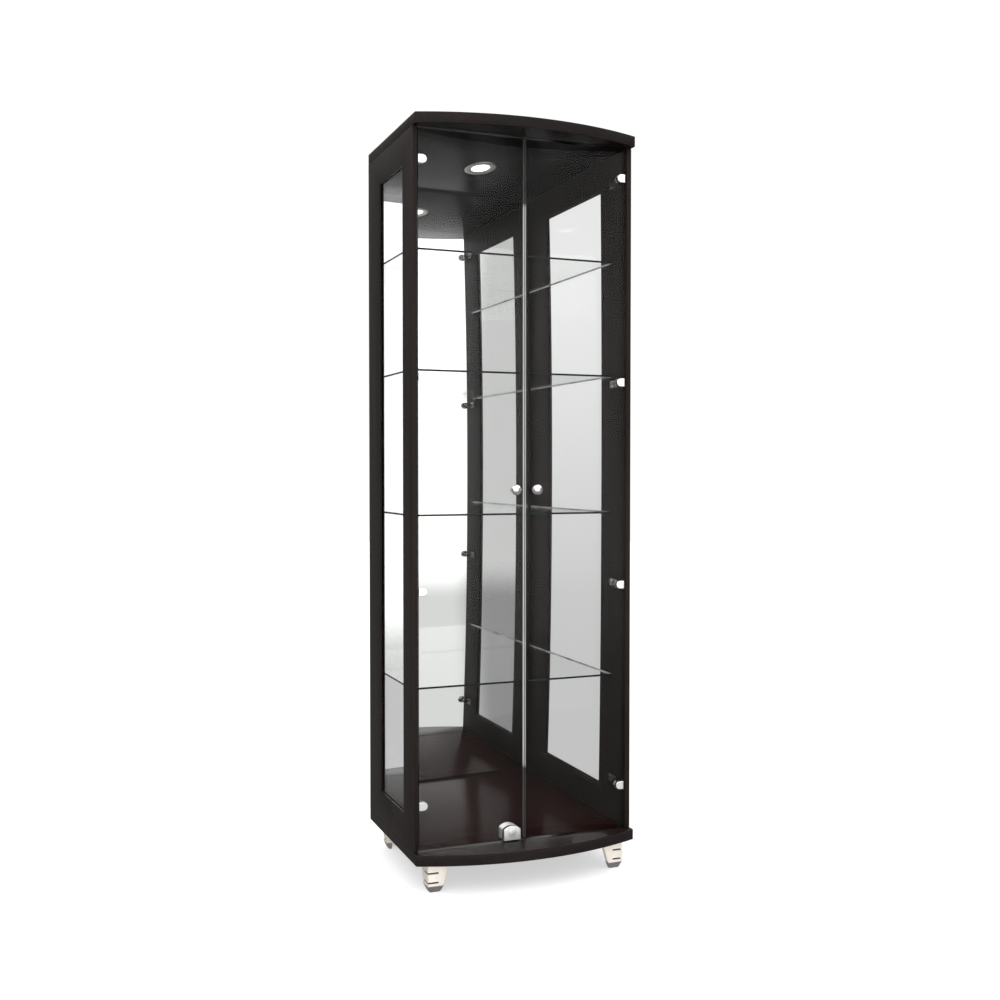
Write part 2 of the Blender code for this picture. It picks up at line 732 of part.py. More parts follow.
def build():
    clear_scene()
    wood = finish("espresso_wood", (0.030, 0.024, 0.022), 0.38)
    glass = finish("clear_glass", (0.93, 0.97, 0.95), 0.02, transmission=1.0)
    silver = finish("mirror_silver", (0.90, 0.92, 0.92), 0.02, metallic=1.0)
    bright = finish("bright_chrome", (0.90, 0.90, 0.90), 0.12, metallic=1.0)
    steel = finish("nickel_steel", (0.62, 0.61, 0.59), 0.28, metallic=1.0)
    satin = finish("satin_metal", (0.80, 0.76, 0.70), 0.35, metallic=1.0)
    plastic = finish("dark_plastic", (0.030, 0.026, 0.024), 0.50)
    diffuser = finish("white_diffuser", (0.95, 0.95, 0.93), 0.45)
    make_base(wood)
    make_top(wood)
    for name, side in SIDES:
        make_side_panel(name, side, wood)
        make_side_glass(name, side, glass, wood)
    make_back(wood, silver)
    make_shelves(glass, plastic)
    make_feet(satin)
    make_downlight(satin, diffuser)
    make_doors(glass, bright, steel, bright)


build()
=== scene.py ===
"""The looks of the display case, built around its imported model.

Metres, +Z up, and the front faces -Y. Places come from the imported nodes' boxes.
"""

import json
import math

import bmesh
import bpy
from mathutils import Matrix, Vector

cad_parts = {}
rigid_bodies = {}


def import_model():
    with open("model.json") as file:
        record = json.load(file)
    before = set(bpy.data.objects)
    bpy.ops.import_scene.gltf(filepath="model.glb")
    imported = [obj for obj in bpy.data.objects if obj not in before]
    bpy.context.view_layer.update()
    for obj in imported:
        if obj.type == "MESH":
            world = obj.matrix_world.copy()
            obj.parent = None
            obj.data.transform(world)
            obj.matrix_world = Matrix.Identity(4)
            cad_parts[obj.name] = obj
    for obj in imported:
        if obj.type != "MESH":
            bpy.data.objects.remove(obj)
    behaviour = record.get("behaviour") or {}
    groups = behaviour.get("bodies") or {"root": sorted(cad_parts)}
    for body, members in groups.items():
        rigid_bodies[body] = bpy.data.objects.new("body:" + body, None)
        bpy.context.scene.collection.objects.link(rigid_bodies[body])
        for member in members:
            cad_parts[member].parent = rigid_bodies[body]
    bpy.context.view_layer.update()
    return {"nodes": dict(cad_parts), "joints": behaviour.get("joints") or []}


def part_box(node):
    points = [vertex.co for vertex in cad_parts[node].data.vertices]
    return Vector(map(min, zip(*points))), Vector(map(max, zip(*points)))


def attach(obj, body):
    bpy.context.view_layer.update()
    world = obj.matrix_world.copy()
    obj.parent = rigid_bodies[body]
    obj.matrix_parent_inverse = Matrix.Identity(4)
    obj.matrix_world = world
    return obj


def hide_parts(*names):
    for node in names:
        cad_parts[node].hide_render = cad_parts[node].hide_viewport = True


for leftover in list(bpy.data.objects):
    bpy.data.objects.remove(leftover, do_unlink=True)
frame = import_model()
NODES = frame["nodes"]

# Case
SIDES = (("left", -1), ("right", 1))
SHELF_COUNT = 4
HINGE_COUNT = 4
BOW_RISE = 0.061  # how far the front of the top and base bows out
SLAB_EASE = 0.0016  # the slabs' and boards' rounded edges
BOARD_EASE = 0.0009
WINDOW_OVERLAP = 0.0074  # how far the side glass reaches behind the board's lip
WINDOW_SEAT = 0.008
GLASS_LIP = 0.005  # from the board's outer face in to the glass
BOLT_POCKET = 0.0095
POCKET_SPARE = 0.0006

# Lamp
LAMP_BODY_RADIUS = 0.0348
LAMP_POCKET = 0.0135
LAMP_NECK_RADIUS = 0.034
LAMP_NECK = 0.012
LAMP_DROP = 0.0008
LENS_GAP = 0.0003
LENS_BULGE = 0.0014

# Hinges, each about its own pin
DOOR_GLASS = 0.005
HINGE_PIN_DEPTH = 0.008  # from the door's front face back to the pin
CAP = (0.0148, 0.0105, 0.0033)  # a D: its flat's distance, its radius and its centre's distance
INNER_PLATE = (0.0125, 0.0095, 0.0025)
PLATE_BACK = 0.0018
CAP_PROUD = 0.0016
GASKET = 0.0003
STUD_OFFSET = 0.0048
STUD_RADIUS = 0.0020
NUT_RADIUS = 0.0032
BARREL_RADIUS = 0.0026
BARREL_LENGTH = 0.0045
KNUCKLE_RADIUS = 0.0023
KNUCKLE_HALF = 0.004
PIN_RADIUS = 0.0011
PIN_HALF = 0.0098
WALL_REACH = 0.0177  # from the pin to the side board
ARM_HALF = 0.00125
ARM_BACK = 0.0195
ARM_THICK = 0.003
ARM_BEND = 0.0025
ARM_INNER_BEND = 0.0012
WALL_PLATE = (0.023, 0.0025, 0.002)  # length, thickness and corner radius

# Knobs
KNOB_DOME = 0.0090
KNOB_SHOULDER = ((0.985, 0.0016), (0.92, 0.0034), (0.76, 0.0062), (0.56, 0.0082))  # shares of the radius
KNOB_NECK = ((0.0056, 0.0098), (0.0054, 0.0112), (0.0062, 0.0124), (0.0078, 0.0130), (0.0080, 0.0136))
SHANK_RADIUS = 0.0029
WASHER = (0.0065, 0.0008)  # radius and thickness
BUTTON = (0.0050, 0.0024)  # radius and rise

# Lock
LOCK_RISE = 0.0095
LOCK_CORNER = 0.003
LOCK_ROUND = 0.0013
LOCK_BARREL_RADIUS = 0.009
COLLAR = (0.0112, 0.0124)  # its two radii
CHANNEL_SPARE = 0.0004
LOCK_SCREW_REACH = 0.016
KEYWAY = (0.0008, 0.0045)  # half its width and half its length

# Feet: drops are measured down from the foot's top
SLOT_DROPS = (0.0225, 0.0465)
SLOT_HALF = 0.00225
SLOT_DEEP = 0.0034
SLOT_ENDS = (0.028, 0.031)  # how far a slot runs along the front and along the side
FLARE_END = 0.053
FOOT_END = 0.072
FOOT_WALL = 0.014
FOOT_REACHES = (0.0580, 0.0420, 0.0340)  # at the top, at the flare's end and at the floor
INSET_START = 0.055
FOOT_INSET = 0.007
FOOT_CORNER = 0.0028

# Looks
DEPTH_INDEX = 1 / 1.5  # below 1, so the inside looks deeper than it is
BEND_FACING = (0.165, 0.215)  # the bend fades out as the view of the doors slants
# the heights between which the doors' meeting edges get a painted reflection of the bright inside, and its
# fade
PAINTED_REFLECTION_HEIGHTS = (0.283, 1.725)
PAINTED_REFLECTION_FADE = 0.01
ESPRESSO_DARK = (0.0095, 0.0074, 0.0068)
ESPRESSO_LIGHT = (0.0190, 0.0150, 0.0138)

# Studio: light strengths, and the spans of heading over which each fades in
BACKDROP = 1.02
DOME_LIGHT = 1.75
DOME_SPAN = (0.18, 0.65)
FRONT_LIGHT = 1.65
FRONT_SPAN = (0.35, 0.80)
RIGHT_SHARE = 0.38
RIGHT_SPAN = (0.485, 0.53)
HORIZON_LIGHT = 0.22
FLOOR_SHARE = 0.46
FLOOR_SPAN = (0.115, 0.165)
GROUND_LIGHT = 0.24
GROUND_SPAN = (0.30, 0.65)
WINDOW_LIGHT = (0.62, 0.92)  # the least seen through the doors, low and high up
WINDOW_SPAN = (-0.25, 0.30)
FLOOR_GLOW = 0.55
FLOOR_RADIUS = 14.0
KEY_PLACE = (-1.8, -2.6, 3.2)
KEY_TARGET = (0, 0, 0.9)
KEY_SIZE = 2.2
KEY_POWER = 20
CAMERA_PLACE = (-1.161, -2.947, 1.051)
CAMERA_TURN = (88.5, 0, -21.4)
CAMERA_LENS = 42.59


# ---------------- node helpers


def add(tree, kind, inputs=None, **settings):
    """A shader node with its settings made, and its inputs set or linked."""
    made = tree.nodes.new(kind)
    for key, value in settings.items():
        setattr(made, key, value)
    for key, value in (inputs or {}).items():
        if isinstance(value, bpy.types.NodeSocket):
            tree.links.new(value, made.inputs[key])
        else:
            made.inputs[key].default_value = value
    return made


def new_material(name):
    mat = bpy.data.materials.new(name)
    mat.use_nodes = True
    return mat, mat.node_tree, mat.node_tree.nodes["Principled BSDF"]


def set_shader(shader, **values):
    names = {"metallic": "Metallic", "ior": "IOR", "specular": "Specular IOR Level"}
    for key, value in values.items():
        shader.inputs[names[key]].default_value = value


def rgba(colour):
    return (*colour, 1.0)


def local_point(tree, scale):
    """The piece's own coordinates, stretched by scale along each axis."""
    place = add(tree, "ShaderNodeTexCoord").outputs["Object"]
    return add(tree, "ShaderNodeMapping", {"Vector": place, "Scale": scale}).outputs["Vector"]


def noise(tree, point, scale, detail=4.0, roughness=0.55):
    inputs = {"Vector": point, "Scale": scale, "Detail": detail, "Roughness": roughness}
    return add(tree, "ShaderNodeTexNoise", inputs).outputs["Fac"]


def ramp(tree, factor, stops):
    """A colour ramp through (position, colour) stops."""
    made = add(tree, "ShaderNodeValToRGB", {"Fac": factor})
    bar = made.color_ramp
    while len(bar.elements) < len(stops):
        bar.elements.new(0.5)
    for element, (position, colour) in zip(bar.elements, stops):
        element.position = position
        element.color = rgba(colour)
    return made.outputs["Color"]


def spread(tree, factor, low, high):
    """Maps a 0 to 1 factor to a range."""
    return add(tree, "ShaderNodeMapRange", {"Value": factor, "To Min": low, "To Max": high}).outputs["Result"]


def from_range(tree, value, start, end):
    """0 at start and 1 at end, in a straight line between."""
    inputs = {"Value": value, "From Min": start, "From Max": end}
    return add(tree, "ShaderNodeMapRange", inputs).outputs["Result"]


def soft_step(tree, value, span, low, high):
    """Eases from low to high as the value crosses the span."""
    inputs = {"Value": value, "From Min": span[0], "From Max": span[1], "To Min": low, "To Max": high}
    return add(tree, "ShaderNodeMapRange", inputs, interpolation_type="SMOOTHSTEP").outputs["Result"]


def bumped(tree, height, strength, distance):
    inputs = {"Height": height, "Strength": strength, "Distance": distance}
    return add(tree, "ShaderNodeBump", inputs).outputs["Normal"]


def math_node(tree, operation, first, second):
    return add(tree, "ShaderNodeMath", {0: first, 1: second}, operation=operation).outputs["Value"]


def weighted(tree, first, first_share, second, second_share):
    """The sum of two factors, each times its share."""
    first = math_node(tree, "MULTIPLY", first, first_share)
    return math_node(tree, "ADD", first, math_node(tree, "MULTIPLY", second, second_share))


def mixed_value(tree, share, first, second):
    return add(tree, "ShaderNodeMix", {"Factor": share, "A": first, "B": second}).outputs["Result"]


def lighter_sharp_edges(tree, colour, edge_colour, amount):
    """Blends towards a lighter edge colour where the surface curves sharply, broken up by noise."""
    edge = add(tree, "ShaderNodeNewGeometry").outputs["Pointiness"]
    sharp = from_range(tree, edge, 0.53, 0.62)
    patches = noise(tree, local_point(tree, (1, 1, 1)), 60.0)
    share = math_node(tree, "MULTIPLY", math_node(tree, "MULTIPLY", sharp, patches), amount)
    mixed = add(tree, "ShaderNodeMix", {"Factor": share}, data_type="RGBA")
    tree.links.new(colour, mixed.inputs[6])
    mixed.inputs[7].default_value = rgba(edge_colour)
    return mixed.outputs[2]


# ---------------- materials


def wood(name, tones, grain, specular=0.06, roughness=(0.33, 0.47)):
    """Dark stained wood-grain foil under a satin lacquer. grain is the axis that the grain runs along."""
    mat, tree, shader = new_material(name)
    dark, light = tones
    fine = [90.0, 90.0, 90.0]
    broad = [14.0, 14.0, 14.0]
    fine[grain] = 3.0
    broad[grain] = 0.9
    streaks = noise(tree, local_point(tree, fine), 4.0, 6.0, 0.6)
    bands = noise(tree, local_point(tree, broad), 2.2, 3.0, 0.5)
    pores = noise(tree, local_point(tree, [s * 3.2 for s in fine]), 5.0, 2.0, 0.5)
    figure = weighted(tree, streaks, 0.55, bands, 0.45)
    halfway = tuple((a + b) / 2 for a, b in zip(dark, light))
    tone = ramp(tree, figure, ((0.36, dark), (0.52, halfway), (0.66, light)))
    # the wood is lighter towards its sharp edges
    tree.links.new(lighter_sharp_edges(tree, tone, (0.07, 0.045, 0.035), 0.35), shader.inputs["Base Color"])
    tree.links.new(spread(tree, pores, *roughness), shader.inputs["Roughness"])
    relief = weighted(tree, pores, 0.6, streaks, 0.4)
    tree.links.new(bumped(tree, relief, 0.08, 0.0002), shader.inputs["Normal"])
    set_shader(shader, specular=specular)
    return mat


def hardboard():
    """The back board: dark painted fibreboard with a fine fibrous face."""
    mat, tree, shader = new_material("back_board_paint")
    fibres = noise(tree, local_point(tree, (160, 160, 160)), 3.0, 6.0, 0.7)
    clouds = noise(tree, local_point(tree, (5, 5, 5)), 1.5, 3.0, 0.5)
    both = weighted(tree, fibres, 0.4, clouds, 0.6)
    tone = ramp(tree, both, ((0.35, (0.0110, 0.0084, 0.0076)), (0.65, (0.0150, 0.0116, 0.0106))))
    tree.links.new(tone, shader.inputs["Base Color"])
    tree.links.new(spread(tree, fibres, 0.55, 0.72), shader.inputs["Roughness"])
    tree.links.new(bumped(tree, fibres, 0.2, 0.0003), shader.inputs["Normal"])
    set_shader(shader, specular=0.2)
    return mat


def metal(name, dark, light, roughness, grain_scale, bump, metallic=1.0):
    """A metal with soft tone changes, a fine grain and faint wiping marks."""
    mat, tree, shader = new_material(name)
    grain = noise(tree, local_point(tree, grain_scale), 1.0, 5.0, 0.6)
    cloud = noise(tree, local_point(tree, (70, 70, 70)), 1.0, 3.0, 0.5)
    tone = ramp(tree, cloud, ((0.3, dark), (0.7, light)))
    # the metal is painted brighter towards its sharp edges: a painted highlight
    bright = tuple(min(1.0, c * 1.15) for c in light)
    tree.links.new(lighter_sharp_edges(tree, tone, bright, 0.6), shader.inputs["Base Color"])
    tree.links.new(spread(tree, cloud, roughness - 0.04, roughness + 0.04), shader.inputs["Roughness"])
    tree.links.new(bumped(tree, grain, bump, 0.00015), shader.inputs["Normal"])
    set_shader(shader, metallic=metallic)
    return mat


def pane(name, tint, straight, grazing=1.0):
    """Polished float glass seen through both faces: clear straight on, and mirror-like at a low angle."""
    mat, tree, shader = new_material(name)
    tree.nodes.remove(shader)
    output = tree.nodes["Material Output"]
    facing = add(tree, "ShaderNodeLayerWeight", {"Blend": 0.5}).outputs["Facing"]
    share = spread(tree, math_node(tree, "POWER", facing, 5.0), straight, grazing)
    smears = noise(tree, local_point(tree, (6, 6, 3)), 1.5, 4.0, 0.6)
    clear = add(tree, "ShaderNodeBsdfTransparent", {"Color": rgba(tint)})
    gloss_roughness = spread(tree, smears, 0.0, 0.02)
    gloss = add(tree, "ShaderNodeBsdfGlossy", {"Color": (1, 1, 1, 1), "Roughness": gloss_roughness})
    mixed = add(tree, "ShaderNodeMixShader", {"Fac": share, 1: clear.outputs[0], 2: gloss.outputs[0]})
    tree.links.new(mixed.outputs[0], output.inputs["Surface"])
    return mat


def deep_pane(name, tint, straight):
    """The doors' outer face. Seen from near the front, it bends the view so that the inside looks deeper."""
    mat = pane(name, tint, straight)
    tree = mat.node_tree
    mixed = next(n for n in tree.nodes if n.bl_idname == "ShaderNodeMixShader")
    clear = next(n for n in tree.nodes if n.bl_idname == "ShaderNodeBsdfTransparent")
    facing = add(tree, "ShaderNodeLayerWeight", {"Blend": 0.5}).outputs["Facing"]
    near_front = soft_step(tree, facing, BEND_FACING, 1.0, 0.0)
    light_path = add(tree, "ShaderNodeLightPath")
    lit = math_node(tree, "SUBTRACT", 1.0, light_path.outputs["Is Shadow Ray"])
    outside = math_node(tree, "SUBTRACT", 1.0, add(tree, "ShaderNodeNewGeometry").outputs["Backfacing"])
    share = math_node(tree, "MULTIPLY", near_front, math_node(tree, "MULTIPLY", lit, outside))
    bend = add(tree, "ShaderNodeBsdfRefraction", {"Color": rgba(tint), "Roughness": 0.0, "IOR": DEPTH_INDEX})
    through = add(tree, "ShaderNodeMixShader", {"Fac": share, 1: clear.outputs[0], 2: bend.outputs[0]})
    tree.links.new(through.outputs[0], mixed.inputs[1])
    return mat


def glass_edge(name, dark, light, specular, clear_inside=False):
    """The ground and polished edge of float glass, which looks through the length of the sheet."""
    mat, tree, shader = new_material(name)
    streaks = noise(tree, local_point(tree, (9, 9, 9)), 2.0, 4.0, 0.6)
    tree.links.new(ramp(tree, streaks, ((0.35, dark), (0.65, light))), shader.inputs["Base Color"])
    tree.links.new(spread(tree, streaks, 0.05, 0.14), shader.inputs["Roughness"])
    set_shader(shader, ior=1.52, specular=specular)
    if clear_inside:
        inside = add(tree, "ShaderNodeNewGeometry").outputs["Backfacing"]
        clear = add(tree, "ShaderNodeBsdfTransparent", {"Color": (0.97, 0.975, 0.97, 1)})
        mixed = add(tree, "ShaderNodeMixShader", {"Fac": inside, 1: shader.outputs[0], 2: clear.outputs[0]})
        tree.links.new(mixed.outputs[0], tree.nodes["Material Output"].inputs["Surface"])
    return mat


def meeting_edge_painted_reflection():
    """The doors' meeting edges, with a painted reflection of the bright inside: their colour is lighter along
    the middle of their height.
    """
    mat, tree, shader = new_material("polished_meeting_edge_painted_reflection")
    point = add(tree, "ShaderNodeNewGeometry").outputs["Position"]
    height = add(tree, "ShaderNodeSeparateXYZ", {"Vector": point}).outputs["Z"]
    low, high = PAINTED_REFLECTION_HEIGHTS
    above = from_range(tree, height, low, low + PAINTED_REFLECTION_FADE)
    below = from_range(tree, height, high, high - PAINTED_REFLECTION_FADE)
    streaks = noise(tree, local_point(tree, (9, 9, 9)), 2.0, 4.0, 0.6)
    inside = math_node(tree, "MULTIPLY", above, below)
    share = math_node(tree, "MULTIPLY", inside, spread(tree, streaks, 0.85, 1.0))
    # painted reflection: light in the band between the heights, dark towards the ends
    tone = ramp(tree, share, ((0.0, (0.085, 0.083, 0.081)), (1.0, (0.62, 0.61, 0.59))))
    tree.links.new(tone, shader.inputs["Base Color"])
    tree.links.new(spread(tree, streaks, 0.10, 0.20), shader.inputs["Roughness"])
    set_shader(shader, specular=0.2)
    return mat


def silvering():
    """The mirror's silver seen through clear glass, with the faintest unevenness."""
    mat, tree, shader = new_material("mirror_silver")
    cloud = noise(tree, local_point(tree, (3, 3, 2)), 1.0, 3.0, 0.5)
    tone = ramp(tree, cloud, ((0.3, (0.92, 0.925, 0.92)), (0.7, (0.945, 0.948, 0.945))))
    tree.links.new(tone, shader.inputs["Base Color"])
    tree.links.new(spread(tree, cloud, 0.0, 0.012), shader.inputs["Roughness"])
    set_shader(shader, metallic=1.0)
    return mat


def lamp_lens():
    """Frosted diffuser, lit from behind."""
    mat, tree, shader = new_material("lamp_lens")
    frost = noise(tree, local_point(tree, (400, 400, 400)), 1.0, 3.0, 0.5)
    tone = ramp(tree, frost, ((0.3, (0.92, 0.92, 0.90)), (0.7, (0.98, 0.98, 0.96))))
    tree.links.new(tone, shader.inputs["Base Color"])
    tree.links.new(spread(tree, frost, 0.35, 0.55), shader.inputs["Roughness"])
    shader.inputs["Emission Color"].default_value = (1.0, 0.97, 0.92, 1.0)
    shader.inputs["Emission Strength"].default_value = 3.0
    return mat


def soft_plastic(name, dark, light, roughness):
    mat, tree, shader = new_material(name)
    grain = noise(tree, local_point(tree, (500, 500, 500)), 1.0, 3.0, 0.5)
    tree.links.new(ramp(tree, grain, ((0.3, dark), (0.7, light))), shader.inputs["Base Color"])
    tree.links.new(spread(tree, grain, roughness - 0.06, roughness + 0.06), shader.inputs["Roughness"])
    tree.links.new(bumped(tree, grain, 0.2, 0.0001), shader.inputs["Normal"])
    return mat


FINE = (900, 900, 900)
CAST = (900, 900, 90)
DRAWN = (1400, 1400, 90)
DOOR_TINT = (0.990, 0.993, 0.990)
WOOD_UPRIGHT = wood("espresso_wood_upright", (ESPRESSO_DARK, ESPRESSO_LIGHT), 2)
WOOD_ACROSS = wood("espresso_wood_across", (ESPRESSO_DARK, ESPRESSO_LIGHT), 0)
# the base's top: a darker, redder copy of the wood behind the doors and a darker one in front of them, both
# painted shade
BASE_PAINTED_SHADE_TONES = ((0.0090, 0.0024, 0.0020), (0.0170, 0.0046, 0.0039))
LIP_PAINTED_SHADE_TONES = ((0.0080, 0.0054, 0.0047), (0.0160, 0.0110, 0.0096))
# the ceiling's wood is a much darker copy of the espresso: painted shade inside the case
CEILING_PAINTED_SHADE_TONES = ((0.0022, 0.0018, 0.0017), (0.0046, 0.0038, 0.0036))
WOOD_BASE_PAINTED_SHADE = wood("espresso_wood_base_painted_shade", BASE_PAINTED_SHADE_TONES, 0, 0.04, (0.14, 0.24))
WOOD_LIP_PAINTED_SHADE = wood("espresso_wood_lip_painted_shade", LIP_PAINTED_SHADE_TONES, 0, 0.06, (0.21, 0.25))
WOOD_CEILING_PAINTED_SHADE = wood("espresso_wood_ceiling_painted_shade", CEILING_PAINTED_SHADE_TONES, 0, 0.06, (0.14, 0.24))
BOARD = hardboard()
CHROME = metal("bright_chrome", (0.86, 0.86, 0.86), (0.95, 0.95, 0.95), 0.10, FINE, 0.04)
LOCK_METAL = metal("satin_chrome", (0.72, 0.72, 0.72), (0.82, 0.82, 0.82), 0.30, FINE, 0.04, 0.6)
# a grey copy of the foot's metal for its lower bevel: painted shade
FOOT_BEVEL_PAINTED_SHADE = metal("satin_foot_bevel_painted_shade", (0.60, 0.59, 0.58), (0.70, 0.69, 0.68), 0.38, CAST, 0.05)
DARK_STEEL = metal("dark_plated_steel", (0.10, 0.10, 0.10), (0.17, 0.165, 0.16), 0.32, DRAWN, 0.10)
NICKEL = metal("nickel_steel", (0.48, 0.47, 0.45), (0.66, 0.65, 0.62), 0.26, DRAWN, 0.12)
SATIN = metal("satin_foot_metal", (0.90, 0.83, 0.74), (0.98, 0.91, 0.82), 0.36, CAST, 0.05, 0.45)
RING = metal("satin_lamp_ring", (0.72, 0.69, 0.67), (0.86, 0.83, 0.81), 0.42, (700, 700, 700), 0.08)
DOOR_FRONT = deep_pane("clear_door_glass_front", DOOR_TINT, 0.007)
DOOR_PANE = pane("clear_door_glass", DOOR_TINT, 0.007)
SIDE_PANE = pane("clear_side_glass", (0.955, 0.957, 0.955), 0.010, 0.55)
SHELF_PANE = pane("clear_shelf_glass", (0.996, 0.998, 0.996), 0.004, 0.30)
MEETING_EDGE_PAINTED_REFLECTION = meeting_edge_painted_reflection()
# the shelves' right-hand ends are painted lighter than their other edges: painted light
SHELF_END_PAINTED_LIGHT = glass_edge("shelf_end_painted_light", (0.12, 0.125, 0.125), (0.46, 0.47, 0.47), 0.2)
CLEAR_EDGE = pane("clear_shelf_end", (0.975, 0.98, 0.975), 0.005, 0.30)
SHELF_EDGE = glass_edge("shelf_glass_edge", (0.004, 0.006, 0.005), (0.014, 0.020, 0.018), 0.08, True)
SILVER = silvering()
LENS = lamp_lens()
RUBBER = soft_plastic("black_gasket", (0.010, 0.010, 0.010), (0.022, 0.022, 0.022), 0.60)
PEG = soft_plastic("dark_peg_plastic", (0.010, 0.008, 0.007), (0.020, 0.016, 0.014), 0.55)


# ---------------- shape helpers


def block(low, high):
    low, high = Vector(low), Vector(high)
    bm = bmesh.new()
    size = Matrix.Diagonal((*(high - low), 1.0))
    bmesh.ops.create_cube(bm, size=1.0, matrix=Matrix.Translation((low + high) / 2) @ size)
    return bm


def extruded(outline, start, end, axis):
    """An outline of two coordinates, extruded along axis 1 (Y) or 2 (Z)."""
    bm = bmesh.new()
    corners = [(p[0], start, p[1]) if axis == 1 else (p[0], p[1], start) for p in outline]
    face = bm.faces.new([bm.verts.new(c) for c in corners])
    shift = Vector((0, end - start, 0)) if axis == 1 else Vector((0, 0, end - start))
    moved = bmesh.ops.extrude_face_region(bm, geom=[face])["geom"]
    bmesh.ops.translate(bm, verts=[v for v in moved if isinstance(v, bmesh.types.BMVert)], vec=shift)
    bmesh.ops.recalc_face_normals(bm, faces=bm.faces)
    return bm


def lofted(rows, closed=False):
    """Faces between rows of points. An open loft has caps at its ends. A closed one joins last to first."""
    bm = bmesh.new()
    loops = [[bm.verts.new(p) for p in row] for row in rows]
    pairs = list(zip(loops, loops[1:]))
    if closed:
        pairs.append((loops[-1], loops[0]))
    for near, far in pairs:
        for i in range(len(near)):
            after = (i + 1) % len(near)
            bm.faces.new((near[i], near[after], far[after], far[i]))
    if not closed:
        bm.faces.new(loops[0])
        bm.faces.new(loops[-1])
    bmesh.ops.recalc_face_normals(bm, faces=bm.faces)
    return bm


def turned(profile, axis, sides=48, ring=False):
    """A profile of (radius, height) points turned about axis 0, 1 or 2. A ring's profile is a closed loop."""
    bm = bmesh.new()
    rows = []
    for radius, height in profile:
        row = []
        for i in range(1 if radius == 0 else sides):
            turn = 2 * math.pi * i / sides
            point = [radius * math.cos(turn), radius * math.sin(turn)]
            point.insert(axis, height)
            row.append(bm.verts.new(point))
        rows.append(row)
    pairs = list(zip(rows, rows[1:]))
    if ring:
        pairs.append((rows[-1], rows[0]))
    for near, far in pairs:
        for i in range(sides):
            after = i + 1
            quad = [near[i % len(near)], near[after % len(near)], far[after % len(far)], far[i % len(far)]]
            bm.faces.new(list(dict.fromkeys(quad)))
    bmesh.ops.recalc_face_normals(bm, faces=bm.faces)
    return bm


def moved(bm, offset):
    bmesh.ops.translate(bm, verts=bm.verts, vec=offset)
    return bm


def softened(bm, width, segments=3, angle=30):
    """Rounds every edge sharper than the angle."""
    limit = math.radians(angle)
    sharp = [e for e in bm.edges if e.is_manifold and e.calc_face_angle(0) > limit]
    shape = {"segments": segments, "profile": 0.5, "affect": "EDGES", "clamp_overlap": True}
    bmesh.ops.bevel(bm, geom=sharp, offset=width, **shape)
    return bm


def arc(centre, radius, start, end, steps):
    turns = [math.radians(start + (end - start) * i / steps) for i in range(steps + 1)]
    return [(centre[0] + radius * math.cos(t), centre[1] + radius * math.sin(t)) for t in turns]


def quarter(steps):
    """Even turns from 0 to a right angle."""
    return [math.pi / 2 * i / steps for i in range(steps + 1)]


def mirrored(bm):
    """The same shape for the other side of the case."""
    bmesh.ops.scale(bm, vec=(-1, 1, 1), verts=bm.verts)
    bmesh.ops.reverse_faces(bm, faces=bm.faces)
    return bm


def piece(name, shapes, body, replaces=(), slot=None, location=(0, 0, 0), smooth_angle=35):
    """A shown piece made of (shape, material) pairs, riding on a body."""
    mesh = bpy.data.meshes.new(name)
    whole = bmesh.new()
    materials = []
    for shape, material in shapes:
        if material not in materials:
            materials.append(material)
        for face in shape.faces:
            face.material_index = materials.index(material)
        part = bpy.data.meshes.new("part")
        shape.to_mesh(part)
        shape.free()
        whole.from_mesh(part)
        bpy.data.meshes.remove(part)
    whole.to_mesh(mesh)
    whole.free()
    for material in materials:
        mesh.materials.append(material)
    mesh.shade_smooth()
    mesh.set_sharp_from_angle(angle=math.radians(smooth_angle))
    return shown(name, mesh, body, replaces, slot, location)


def shown(name, mesh, body, replaces=(), slot=None, location=(0, 0, 0)):
    obj = bpy.data.objects.new(name, mesh)
    bpy.context.scene.collection.objects.link(obj)
    obj.location = location
    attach(obj, body)
    if replaces:
        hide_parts(*replaces)
    return obj


def cut(bm, cutters):
    """The shape with the cutters taken out of it, by exact booleans."""
    objects = []
    for i, shape in enumerate([bm, *cutters]):
        mesh = bpy.data.meshes.new(f"cut_{i}")
        shape.to_mesh(mesh)
        shape.free()
        obj = bpy.data.objects.new(f"cut_{i}", mesh)
        bpy.context.scene.collection.objects.link(obj)
        objects.append(obj)
    target = objects[0]
    for tool in objects[1:]:
        modifier = target.modifiers.new("cut", "BOOLEAN")
        modifier.operation = "DIFFERENCE"
        modifier.solver = "EXACT"
        modifier.object = tool
    bpy.context.view_layer.update()
    evaluated = target.evaluated_get(bpy.context.evaluated_depsgraph_get())
    result = bmesh.new()
    result.from_mesh(evaluated.to_mesh())
    evaluated.to_mesh_clear()
    for obj in objects:
        mesh = obj.data
        bpy.data.objects.remove(obj, do_unlink=True)
        bpy.data.meshes.remove(mesh)
    return result


def middle(node):
    low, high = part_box(node)
    return (low + high) / 2


# ---------------- case


def slab_outline():
    """The plan of the top and base: straight back and ends, and one arc along the front."""
    low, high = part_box("top_panel")
    half = high.x
    radius = (half ** 2 + BOW_RISE ** 2) / (2 * BOW_RISE)
    sweep = math.degrees(math.asin(half / radius))
    front = arc((0, low.y + radius), radius, 270 + sweep, 270 - sweep, 96)
    return [(-half, high.y), (half, high.y), *front]


def slab_between(low, high):
    return softened(extruded(slab_outline(), low.z, high.z, 2), SLAB_EASE, 3, 40)


def round_bolt(low, high, spare):
    """A block round the lock's bolt in plan, from low to high, with a gap all round."""
    bolt_low, bolt_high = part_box("lock_bolt")
    near = (bolt_low.x - spare, bolt_low.y - spare, low)
    far = (bolt_high.x + spare, bolt_high.y + spare, high)
    return block(near, far)


